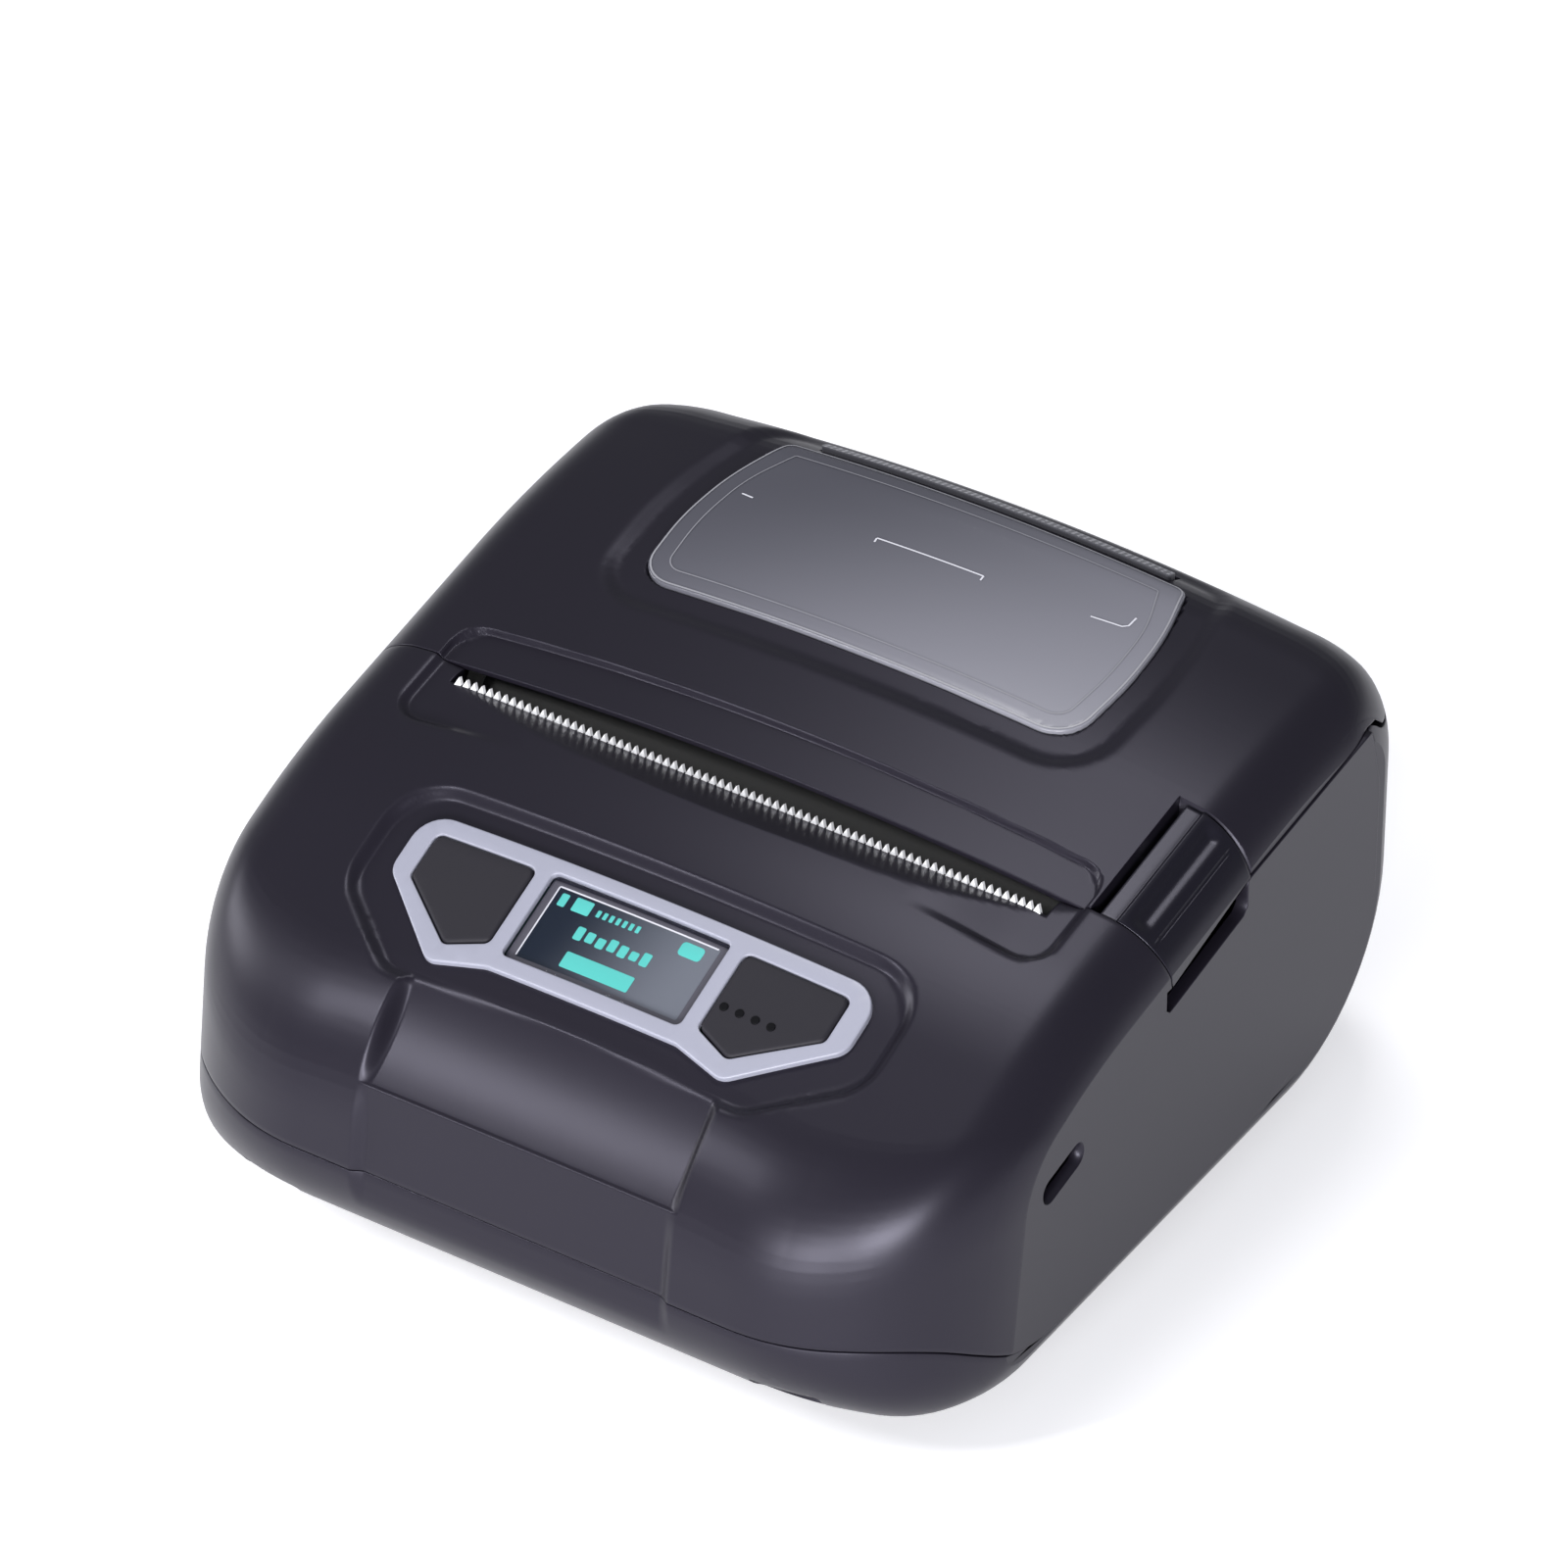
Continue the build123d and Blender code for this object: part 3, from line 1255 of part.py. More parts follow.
def housing_screws():
    """Screws that join the two shells from below."""
    screws = []
    for x in (-boss_x, boss_x):
        for y, top in ((boss_front_y, board_z), (boss_rear_y, tub_z - tub_radius + 2)):
            head_z = foot_height + 3.0
            screw = rod_z(x, y, screw_head_radius, head_z - 1.8, head_z) + rod_z(x, y, screw_radius, head_z, top)
            screw = screw - rod_z(x, y, 0.9, head_z - 2.8, head_z - 0.8)
            screws.append(screw)
    return screws


def lid_hinge_spring():
    """Coil round the hinge pin, in the gap at the middle of the barrel."""
    half = hinge_spring_half_length
    return coil((-half, hinge_y, hinge_z), (1, 0, 0), hinge_spring_radius, hinge_spring_wire, 2 * half, 12)


def lid_hinge_pin():
    """Steel rod through the lid's barrel and the two ears."""
    half = hinge_barrel_half_length + hinge_ear_width + seam_gap
    return rod_x(hinge_y, hinge_z, hinge_pin_radius, -half, half)


def lever_pin():
    """Steel pin of the release lever."""
    return lever_rod(lever_pin_radius, lever_barrel_front_y - seam_gap - lever_ear_width,
                     lever_barrel_rear_y + seam_gap + lever_ear_width)


nodes = {
    "bottom_shell": bottom_shell,
    "upper_housing": upper_housing,
    "lid_cover": lid_cover,
    "lid_window": lid_window,
    "lid_inner_frame": lid_inner_frame,
    "lid_hinge_strip": lid_hinge_strip,
    "lid_hinge_pin": lid_hinge_pin,
    "lid_hinge_spring": lid_hinge_spring,
    "release_lever": release_lever,
    "lever_pin": lever_pin,
    "lever_spring": lever_spring,
    "latch_hook": latch_hook,
    "button_bezel": button_bezel,
    "power_key": lambda: key(-1),
    "feed_key": lambda: key(1),
    "display_lens": display_lens,
    "display_module": display_module,
    "key_board": key_board,
    "key_switches": key_switches,
    "tear_bar": tear_bar,
    "platen_roller": platen_roller,
    "platen_shaft": platen_shaft,
    "platen_bushes": platen_bushes,
    "platen_gear": platen_gear,
    "idler_gear": idler_gear,
    "idler_axle": idler_axle,
    "gear_bracket": gear_bracket,
    "stepper_motor": stepper_motor,
    "motor_shaft": motor_shaft,
    "motor_pinion": motor_pinion,
    "print_head": print_head,
    "head_heat_sink": head_heat_sink,
    "head_pivot_rod": head_pivot_rod,
    "head_springs": head_springs,
    "mechanism_chassis": mechanism_chassis,
    "media_tub": media_tub,
    "left_media_guide": lambda: media_guide(-1),
    "right_media_guide": lambda: media_guide(1),
    "guide_pinion": guide_pinion,
    "guide_pinion_pin": guide_pinion_pin,
    "paper_guide": paper_guide,
    "paper_sensor": paper_sensor,
    "main_board": main_board,
    "board_parts": board_parts,
    "usb_port": usb_port,
    "battery_pack": battery_pack,
    "battery_holder": battery_holder,
    "battery_cover": battery_cover,
    "cover_screws": cover_screws,
    "rubber_feet": rubber_feet,
    "housing_screws": housing_screws,
}

os.makedirs("parts", exist_ok=True)
for name, build in nodes.items():
    made = build()
    if isinstance(made, list):
        made = Compound(children=[solid for item in made for solid in item.solids()])
    export_step(made, "parts/" + name + ".step")
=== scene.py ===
"""Looks of a portable label printer: smooth case mouldings, finishes, camera and light.

The case is drawn from side outlines: straight lines joined by arcs, drawn in towards the side
walls by quarter-round insets and by a crown. Each moulding is the part of those outlines inside
its own zone of the side view, with recesses pressed in along the surface normal. Sizes are in
millimetres, and a mesh is made in metres.
"""

import json
import logging
import math
from dataclasses import dataclass, field, replace
from enum import Enum
from typing import Callable, Dict, List, Sequence, Tuple

import bmesh
import bpy
import numpy as np
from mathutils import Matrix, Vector

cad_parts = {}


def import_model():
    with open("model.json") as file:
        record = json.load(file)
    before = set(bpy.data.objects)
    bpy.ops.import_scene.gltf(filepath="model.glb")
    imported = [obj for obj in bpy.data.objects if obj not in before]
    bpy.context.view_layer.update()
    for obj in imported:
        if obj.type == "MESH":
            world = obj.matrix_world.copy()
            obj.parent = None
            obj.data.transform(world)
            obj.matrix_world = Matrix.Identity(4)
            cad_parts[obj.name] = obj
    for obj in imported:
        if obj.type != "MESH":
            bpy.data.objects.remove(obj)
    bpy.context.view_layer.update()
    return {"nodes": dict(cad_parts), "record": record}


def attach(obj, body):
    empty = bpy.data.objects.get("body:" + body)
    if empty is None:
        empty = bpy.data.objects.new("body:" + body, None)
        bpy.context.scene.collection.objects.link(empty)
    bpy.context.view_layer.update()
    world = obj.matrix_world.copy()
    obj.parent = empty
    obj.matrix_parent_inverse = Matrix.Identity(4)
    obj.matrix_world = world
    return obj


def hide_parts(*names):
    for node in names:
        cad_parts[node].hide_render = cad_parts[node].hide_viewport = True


logging.basicConfig(level=logging.INFO, format="%(message)s")
log = logging.getLogger("printer")

MM = 0.001
Array = np.ndarray
Outline = List[Tuple[float, float]]
Point = Tuple[float, float, float]
Place = Callable[[Array], Array]
Rim = Tuple[Array, Array, Array]


class View(Enum):
    """The two axes on which a flat outline is drawn."""

    PLAN = (0, 1)
    FRONT = (0, 2)
    SIDE = (1, 2)


# Numeric helpers

def smoothstep(low: float, high: float, value: Array) -> Array:
    """Cubic step 3t^2 - 2t^3, with t from 0 at low to 1 at high."""
    t = np.clip((value - low) / (high - low), 0.0, 1.0)
    return t * t * (3.0 - 2.0 * t)


def unit(vectors: Array) -> Array:
    """Vectors along the last axis, divided by their lengths."""
    return vectors / np.maximum(np.linalg.norm(vectors, axis=-1), 1e-9)[..., None]


def travel(path: Array) -> Array:
    """Distance along a path at each of its points, from 0."""
    return np.concatenate([[0], np.cumsum(np.linalg.norm(np.diff(path, axis=0), axis=1))])


def refined(low: float, high: float, spacing: float, marks: Sequence[float], reach: float = 1.6,
            fine: float = 0.22) -> Array:
    """Even positions, with a stretch of finer ones in place of those round each mark.

    Args:
        low: first position.
        high: last position.
        spacing: coarse spacing.
        marks: places that need a finer spacing.
        reach: half width of the fine stretch.
        fine: fine spacing.

    Returns:
        Sorted positions, both ends included.
    """
    coarse = np.linspace(low, high, max(2, int(round((high - low) / spacing)) + 1))
    keep = np.ones(len(coarse), bool)
    extra = []
    for mark in marks:
        if low < mark < high:
            keep &= np.abs(coarse - mark) > reach
            extra.append(mark + np.linspace(-reach, reach, 2 * int(round(reach / fine)) + 1))
    keep[0] = keep[-1] = True
    every = np.unique(np.round(np.clip(np.concatenate([coarse[keep]] + extra), low, high), 4))
    apart = np.append(True, np.diff(every) > 0.4 * fine)
    apart[-1] = True
    return every[apart]


def inside_polygon(points: Array, polygon: Array) -> Array:
    """Even-odd test: a ray from each point crosses the polygon's edge an odd number of times.

    Args:
        points: 2D points.
        polygon: corners of the polygon.

    Returns:
        True for each point inside.
    """
    px, py = points[:, 0][:, None], points[:, 1][:, None]
    ax, ay = polygon[:, 0][None], polygon[:, 1][None]
    bx, by = np.roll(polygon[:, 0], -1)[None], np.roll(polygon[:, 1], -1)[None]
    crosses = (ay > py) != (by > py)
    slope = (bx - ax) / np.where(by == ay, 1e-12, by - ay)
    return (np.sum(crosses & (px < ax + slope * (py - ay)), axis=1) % 2) == 1


def signed_distance(points: Array, polygon: Array) -> Array:
    """Distance to the nearest of a polygon's edges, negative inside.

    Args:
        points: 2D points in an array of any shape.
        polygon: corners of the polygon.

    Returns:
        The distance of each point.
    """
    flat = points.reshape(-1, 2)
    best = np.full(len(flat), 1e9)
    for p, q in zip(polygon, np.roll(polygon, -1, axis=0)):
        d = q - p
        length = float(np.dot(d, d))
        if length > 1e-14:
            t = np.clip(((flat - p) @ d) / length, 0, 1)
            best = np.minimum(best, np.hypot(*(flat - (p + t[:, None] * d)).T))
    return np.where(inside_polygon(flat, polygon), -best, best).reshape(points.shape[:-1])


def rounded_path(corners: Outline, radii: Sequence[float], closed: bool = True, steps: int = 8) -> Array:
    """2D path through corners, each replaced by an arc that touches both of its sides.

    Args:
        corners: corner points in order.
        radii: one radius per corner, 0 for a sharp corner.
        closed: whether the path returns to its start.
        steps: points per rounding.

    Returns:
        Points of the path.
    """
    c = np.array(corners, float)
    count = len(c)
    out = []
    for i in range(count):
        if radii[i] <= 0 or (not closed and i in (0, count - 1)):
            out.append(c[i][None])
            continue
        before, after = c[i - 1] - c[i], c[(i + 1) % count] - c[i]
        lb, la = np.linalg.norm(before), np.linalg.norm(after)
        b, a = before / lb, after / la
        half = math.acos(np.clip(np.dot(b, a), -1, 1)) / 2
        cut = min(radii[i] / math.tan(half), 0.46 * lb, 0.46 * la)
        radius = cut * math.tan(half)
        middle = (b + a) / np.linalg.norm(b + a)
        centre = c[i] + middle * math.hypot(radius, cut)
        start, end = c[i] + b * cut - centre, c[i] + a * cut - centre
        first = math.atan2(start[1], start[0])
        turn = (math.atan2(end[1], end[0]) - first + math.pi) % (2 * math.pi) - math.pi
        angles = first + turn * np.linspace(0, 1, steps + 1)
        out.append(centre + radius * np.stack([np.cos(angles), np.sin(angles)], 1))
    return np.concatenate(out)


def densify(path: Array, spacing: float = 2.0) -> Array:
    """Divides each stretch of a closed path evenly.

    Args:
        path: closed path.
        spacing: longest stretch allowed.

    Returns:
        The path with more points.
    """
    out = []
    for p, q in zip(path, np.roll(path, -1, axis=0)):
        count = max(1, int(np.ceil(np.linalg.norm(q - p) / spacing)))
        out.append(p + (q - p) * np.arange(count)[:, None] / count)
    return np.concatenate(out)


def counter_clockwise(path: Array) -> Array:
    """The path, turned round where its signed area is negative."""
    y, z = path[:, 0], path[:, 1]
    return path if np.sum(y * np.roll(z, -1) - np.roll(y, -1) * z) > 0 else path[::-1]


def shrunk(path: Array, amount: float) -> Array:
    """Closed path moved inwards along the mean normal of each point's two sides.

    Args:
        path: closed counter-clockwise path.
        amount: distance to move, negative for outwards.

    Returns:
        The moved path.
    """
    step = path - np.roll(path, 1, axis=0)
    before = unit(np.stack([-step[:, 1], step[:, 0]], 1))
    mean = unit(before + np.roll(before, -1, axis=0))
    stretch = 1 / np.maximum(np.sum(mean * before, axis=1), 0.4)
    return path + mean * (amount * stretch)[:, None]


def circle(u: float, v: float, radius: float, count: int) -> Array:
    """Points on a circle round (u, v)."""
    turn = np.linspace(0, 2 * math.pi, count + 1)[:-1]
    return np.stack([u + radius * np.cos(turn), v + radius * np.sin(turn)], 1)


def block(u0: float, v0: float, u1: float, v1: float, corner: float = 0.25) -> Array:
    """Rounded rectangle from corner (u0, v0) to corner (u1, v1)."""
    return rounded_path([(u0, v0), (u1, v0), (u1, v1), (u0, v1)], [corner] * 4, True, 3)


def crossing(inner: Array, outer: Array, zone: Array) -> Array:
    """Point where a step out of a zone crosses its edge, found by halving the step.

    Args:
        inner: point inside the zone.
        outer: point outside it.
        zone: corners of the zone.

    Returns:
        The last point inside.
    """
    for _ in range(22):
        middle = (inner + outer) / 2
        if inside_polygon(middle[None], zone)[0]:
            inner = middle
        else:
            outer = middle
    return inner


def quads(*corners: Array) -> List[List[int]]:
    """Faces from four arrays of vertex numbers, one array for each corner."""
    return np.stack(corners, -1).reshape(-1, 4).tolist()


def make_piece(name: str, points: Array, faces: Sequence[Sequence[int]]) -> bpy.types.Object:
    """Mesh object at the origin, from points in millimetres.

    Args:
        name: name of the piece.
        points: vertices, one row each.
        faces: vertex numbers of each face.

    Returns:
        The object, linked to the scene.
    """
    mesh = bpy.data.meshes.new(name)
    mesh.from_pydata((points * MM).tolist(), [], faces)
    piece = bpy.data.objects.new(name, mesh)
    bpy.context.collection.objects.link(piece)
    return piece


def shade_soft(mesh: bpy.types.Mesh) -> None:
    """Smooth shading for all faces but the flat ones of the side walls and the largest ones.

    Args:
        mesh: mesh to shade.
    """
    areas, normals = np.empty(len(mesh.polygons)), np.empty(3 * len(mesh.polygons))
    mesh.polygons.foreach_get("area", areas)
    mesh.polygons.foreach_get("normal", normals)
    mesh.polygons.foreach_set("use_smooth", (areas < 2e-5) & (np.abs(normals[::3]) < 0.9998))


# Case form

@dataclass(frozen=True)
class CaseForm:
    """Driving sizes of the case's outer form."""

    width: float = 153.4
    wall: float = 2.2
    foot: float = 0.6
    rear_y: float = 78.8
    front_y: float = -77.1
    front_z: float = 32.0
    front_lean: float = 7.4
    top_y: float = 47.2
    top_z: float = 81.45
    top_slope: float = 1.3
    lid_y: float = -6.1
    lid_z: float = 73.3
    lid_slope: float = 10.5
    panel_y: float = -46.9
    panel_z: float = 61.8
    panel_slope: float = 22.5
    under_y: float = -73.3
    under_z: float = 8.6
    under_slope: float = 24.8
    crown: float = 456.0
    top_edge: float = 10.8
    front_corner: float = 36.0
    rear_corner: float = 19.5
    bottom_edge: float = 14.5
    under_share: float = 0.15
    side_flat: float = 0.5
    side_round: float = 11.0
    bends: Tuple[float, ...] = (50.0, 20.0, 200.0, 120.0, 30.0, 18.0, 40.0)

    @property
    def half(self) -> float:
        """Half of the width."""
        return self.width / 2

    def outline(self, x: float) -> Array:
        """Side outline at a station: seven lines moved in by their insets, joined by bends.

        An inset is a quarter round, its radius less the root of radius squared less the square of
        what the distance to the side wall lacks to the radius.

        Args:
            x: the station.

        Returns:
            Closed outline in Y and Z, counter-clockwise.
        """
        distance = self.half - abs(x) + self.side_flat
        top, front, rear, bottom = (r - math.sqrt(r ** 2 - max(r - distance, 0.0) ** 2) for r in
                                    (self.top_edge, self.front_corner, self.rear_corner, self.bottom_edge))
        top += self.crown - math.sqrt(self.crown ** 2 - x ** 2)
        under = self.under_share * front + (1 - self.under_share) * bottom
        insets = [bottom, rear, top, top, top, front, under]
        places = [(0, self.foot, 0), (self.rear_y, self.front_z, 90),
                  (self.top_y, self.top_z, 180 + self.top_slope),
                  (self.lid_y, self.lid_z, 180 + self.lid_slope),
                  (self.panel_y, self.panel_z, 180 + self.panel_slope),
                  (self.front_y, self.front_z, 270 - self.front_lean),
                  (self.under_y, self.under_z + self.foot, -self.under_slope)]
        lines = []
        for (y, z, angle), inset in zip(places, insets):
            c, s = math.cos(math.radians(angle)), math.sin(math.radians(angle))
            lines.append((y - inset * s, z + inset * c, c, s))
        corners, radii = [], []
        for i in range(7):
            j = (i + 1) % 7
            (y1, z1, c1, s1), (y2, z2, c2, s2) = lines[i], lines[j]
            t = ((y2 - y1) * s2 - (z2 - z1) * c2) / (c1 * s2 - s1 * c2)
            corners.append((y1 + t * c1, z1 + t * s1))
            radii.append(max(self.bends[i] - 0.35 * (insets[i] + insets[j]), 0.35 * self.bends[i]))
        return rounded_path(corners, radii, True, 14)

    def stations(self, marks: Sequence[float], spacing: float, short: float = 0.0) -> Array:
        """Places along X: even in the middle, closer in the side roundings.

        Args:
            marks: places that need a closer spacing.
            spacing: spacing in the middle.
            short: how far the last station stays from the side.

        Returns:
            The stations from left to right.
        """
        edge = self.half - self.side_round
        middle = refined(-edge, edge, spacing, marks)
        bend = edge + self.side_round * np.sin(np.linspace(0, math.pi / 2, 17)[1:])
        runs = [(1.8, 1.3, 0.08), (1.3, 0.92, 0.03), (0.92, 0.6, 0.06), (0.6, 0.31, 0.035), (0.3, -0.01, 0.1)]
        rim = np.concatenate([self.half - np.arange(a, b, -step) for a, b, step in runs])
        side = np.concatenate([bend[bend < self.half - 1.85], rim[rim < self.half - short + 0.001]])
        return np.concatenate([-side[::-1], middle, side])


@dataclass(frozen=True)
class LeverForm:
    """Sizes of the release lever on the right edge of the lid."""

    inner_x: float = 64.6
    rear_y: float = 21.4
    ridge_x: float = 67.6
    step_depth: float = 0.5
    valley_x: float = 70.6
    valley_width: float = 4.4
    valley_depth: float = 0.9
    line_gap: float = 0.9
    line_depth: float = 0.25
    axis_x: float = 65.2
    axis_z: float = 66.145


@dataclass(frozen=True)
class BandForm:
    """Hollow band that runs from the key panel down the front."""

    half: float = 29.5
    soft: float = 1.3
    crease_z: float = 39.5
    depth: float = 1.2
    hollow: float = 1.2
    low_z: float = 9.0
    head: float = 14.9
    head_depth: float = 1.6
    rear_y: float = -52.0
    fade: float = 5.0
    deepest: float = 9.0

    def profile(self) -> Array:
        """Side view of the band's floor: a bowed fall to the crease, then straight down.

        Returns:
            Points in Y and Z from the panel downwards.
        """
        slope = math.tan(math.radians(FORM.front_lean))
        crease_y = FORM.front_y + (self.crease_z - FORM.front_z) * slope + self.depth
        a = math.radians(FORM.panel_slope)
        top = np.array([FORM.panel_y - self.head * math.cos(a),
                        FORM.panel_z - self.head * math.sin(a) - self.head_depth])
        crease = np.array([crease_y, self.crease_z])
        low = np.array([crease_y - (self.crease_z - self.low_z) * slope, self.low_z])
        t = np.linspace(0, 1, 14)[:, None]
        bow = 4 * t * (1 - t) * np.array([[0.7, -0.7]]) * self.hollow
        fall = top + (crease - top) * t + bow
        return np.concatenate([[top + (0.6, 4.0)], fall, [low]])


@dataclass(frozen=True)
class RecessForm:
    """Depths of the recesses, and the valley between the panel and the tear bar.

    The valley's ends and its floor are given by their distances from the front edge of the lid.
    """

    pocket: float = 1.6
    exit: float = 1.25
    ring: float = 1.0
    seat: float = 1.2
    valley_half: float = 61.0
    valley_front: float = 13.4
    tear_back: float = 2.2
    tear_drop: float = 4.3


FORM = CaseForm()
RECESS = RecessForm()
LEVER = LeverForm()
BAND = BandForm()


# Seams

SEAM = 0.18
EDGE = 0.18
GAP = SEAM / 2 + EDGE
CENTRE = np.array([0.0, 0.0, 40.0])
HINGE = (FORM.rear_y - 9.8, FORM.top_z - 9.25)
HINGE_FOOT = (59.5, 69.1)
SHELL_SEAM = rounded_path([(-140, 24), (-66.1, 24), (-44.1, 11), (37.8, 11), (62.9, 31), (62.9, 57),
                           HINGE_FOOT], [0, 30, 38, 40, 14, 12, 0], False, 10)
LID_FOOT = (FORM.lid_y + 0.227 * (FORM.lid_z - 57), 57.0)
LID_HEAD = (FORM.lid_y - 0.227 * 30, FORM.lid_z + 30)
SKIRT_REAR = (21.7, 64.0)
BEHIND = (140.0, HINGE[1] + 71)
FINGER_SLOT = [(20.5, 63.6), (20.5, 58.6), (19.3, 57.4), (-3.0, 52.7), (-3.9, 53.4), (-3.9, 57.0)]


def hinge_run(start: float, end: float, radius: float) -> Array:
    """Points on a circle about the hinge, angles in degrees from +Y towards +Z."""
    angles = np.radians(np.linspace(start, end, 24))
    return np.stack([HINGE[0] + radius * np.cos(angles), HINGE[1] + radius * np.sin(angles)], 1)


def seam_zone(*runs: Sequence[Sequence[float]]) -> Array:
    """Zone of the side view from runs of points, drawn back from its seams by half of their gap."""
    return shrunk(counter_clockwise(densify(np.concatenate([np.array(run, float) for run in runs]))), GAP)


ZONES: Dict[str, Array] = {
    "lid": seam_zone([LID_HEAD, LID_FOOT, SKIRT_REAR, HINGE_FOOT], hinge_run(205, 395, 7.05)[1:],
                     [BEHIND, (140.0, 140.0), (-12.9, 140.0)]),
    "lower": seam_zone([(140.0, -20.0), BEHIND], hinge_run(35, -155, 7.3), SHELL_SEAM[::-1],
                       [(-140.0, -20.0)]),
    "upper": seam_zone(SHELL_SEAM, [SKIRT_REAR, LID_FOOT], [LID_HEAD, (-140.0, 140.0)]),
    "upper_right": seam_zone(SHELL_SEAM, [SKIRT_REAR] + FINGER_SLOT + [LID_FOOT],
                             [LID_HEAD, (-140.0, 140.0)]),
    "lever": seam_zone([LID_HEAD, LID_FOOT, SKIRT_REAR, (LEVER.rear_y, 64.0), (LEVER.rear_y, 120.0)]),
}


def upper_zone_at(x: float) -> Array:
    """Zone of the upper moulding at a station; the finger slot is in the right wall."""
    return ZONES["upper_right"] if x > 70 else ZONES["upper"]


# Meshes of the mouldings

@dataclass
class Draft:
    """Points and faces of a mesh in the making."""

    points: Array = field(default_factory=lambda: np.zeros((0, 3)))
    faces: List[Sequence[int]] = field(default_factory=list)

    def add(self, points: Array) -> Array:
        """Adds points.

        Args:
            points: the new points, one row each.

        Returns:
            Their numbers.
        """
        ids = np.arange(len(points)) + len(self.points)
        self.points = np.vstack([self.points, points])
        return ids


@dataclass
class Shell:
    """One moulding of the case: a grid of section arcs with side walls and a rim behind its seams.

    The border is the width of the face ring along the edge of the side walls, which narrows to
    nothing over the taper at both ends. Without a left wall the low end in X is an open edge. A rim
    is the numbers of its points, with their normals and their directions inwards.
    """

    name: str
    zone: Callable[[float], Array]
    stations: Array
    displace: Callable[[Array, Array], Array]
    rim: float = FORM.wall
    left_wall: bool = True
    border: float = 1.0
    taper: float = 7.0
    fractions: Array = field(default_factory=lambda: np.linspace(0, 1, 60))

    def spread(self, spacing: float, marks: Sequence[Tuple[int, float]]) -> None:
        """Chooses the lines along the middle arc, finer where it crosses the marked values.

        Args:
            spacing: coarse spacing.
            marks: axis and value pairs, 0 for Y and 1 for Z.
        """
        path = replace(self, fractions=np.linspace(0, 1, 4001)).arc(0.0)
        lengths = travel(path)
        places: List[float] = []
        for axis, value in marks:
            side = path[:, axis] - value
            places += list(lengths[:-1][side[:-1] * side[1:] <= 0])
        self.fractions = refined(0, lengths[-1], spacing, places) / lengths[-1]

    def arc(self, x: float) -> Array:
        """Longest part of the side outline inside the zone, at the fractions of its length.

        Args:
            x: the station.

        Returns:
            Points in Y and Z.
        """
        zone = self.zone(x)
        dense = densify(FORM.outline(x), 1.5)
        count = len(dense)
        inner = inside_polygon(dense, zone)
        starts, ends = (np.where(inner & ~np.roll(inner, shift))[0] for shift in (1, -1))
        sizes = ((ends - starts[:, None]) % count).min(axis=1) + 1
        best = int(np.argmax(sizes))
        path = dense[(starts[best] + np.arange(-1, sizes[best] + 1)) % count]
        path[0], path[-1] = crossing(path[1], path[0], zone), crossing(path[-2], path[-1], zone)
        lengths = travel(path)
        return np.stack([np.interp(self.fractions * lengths[-1], lengths, column) for column in path.T], 1)

    def seam(self, x: float, first: Array, last: Array) -> Array:
        """Zone edge from the end of an arc back to its start, across the side wall.

        Args:
            x: the station.
            first: start of the arc.
            last: end of the arc.

        Returns:
            Points in Y and Z.
        """
        zone = self.zone(x)
        ahead = np.roll(zone, -1, axis=0) - zone

        def nearest(point: Array) -> int:
            """Number of the zone's stretch next to a point."""
            t = np.sum((point - zone) * ahead, 1) / np.maximum(np.sum(ahead * ahead, 1), 1e-12)
            return int(np.argmin(np.linalg.norm(zone + ahead * np.clip(t, 0, 1)[:, None] - point, axis=1)))

        i, j = nearest(last) + 1, nearest(first)
        return zone[(i + np.arange((j - i) % len(zone) + 1)) % len(zone)]

    def side_wall(self, draft: Draft, row: Array, arc: Array, x: float) -> Rim:
        """Closes a side with a ring of narrow faces along the arc and one face inside the ring.

        Args:
            draft: the mesh in the making.
            row: numbers of the skin's points along the side.
            arc: their places before the skin was displaced.
            x: the station.

        Returns:
            The rim along the seam.
        """
        seam = self.seam(x, arc[0], arc[-1])
        loop = np.concatenate([arc, seam])
        facing = counter_clockwise(loop)
        toward = unit(shrunk(facing, 0.05)[::1 if facing is loop else -1] - loop)
        along = travel(arc)
        width = self.border * np.clip(np.minimum(along, along[-1] - along) / self.taper, 0, 1)
        inner = (arc + toward[:len(arc)] * width[:, None])[1:-1]
        seam_ids, inner_ids = (draft.add(np.column_stack([np.full(len(run), x), run]))
                               for run in (seam, inner))
        ring = np.concatenate([row[:1], inner_ids, row[-1:]])
        draft.faces += [list(dict.fromkeys(q)) for q in quads(row[:-1], row[1:], ring[1:], ring[:-1])]
        draft.faces.append(ring.tolist() + seam_ids.tolist())
        inwards = np.concatenate([toward[len(arc) - 1:], toward[:1]])
        return (np.concatenate([row[-1:], seam_ids, row[:1]]), np.array([[math.copysign(1.0, x), 0.0, 0.0]]),
                np.column_stack([0 * inwards[:, 0], inwards]))

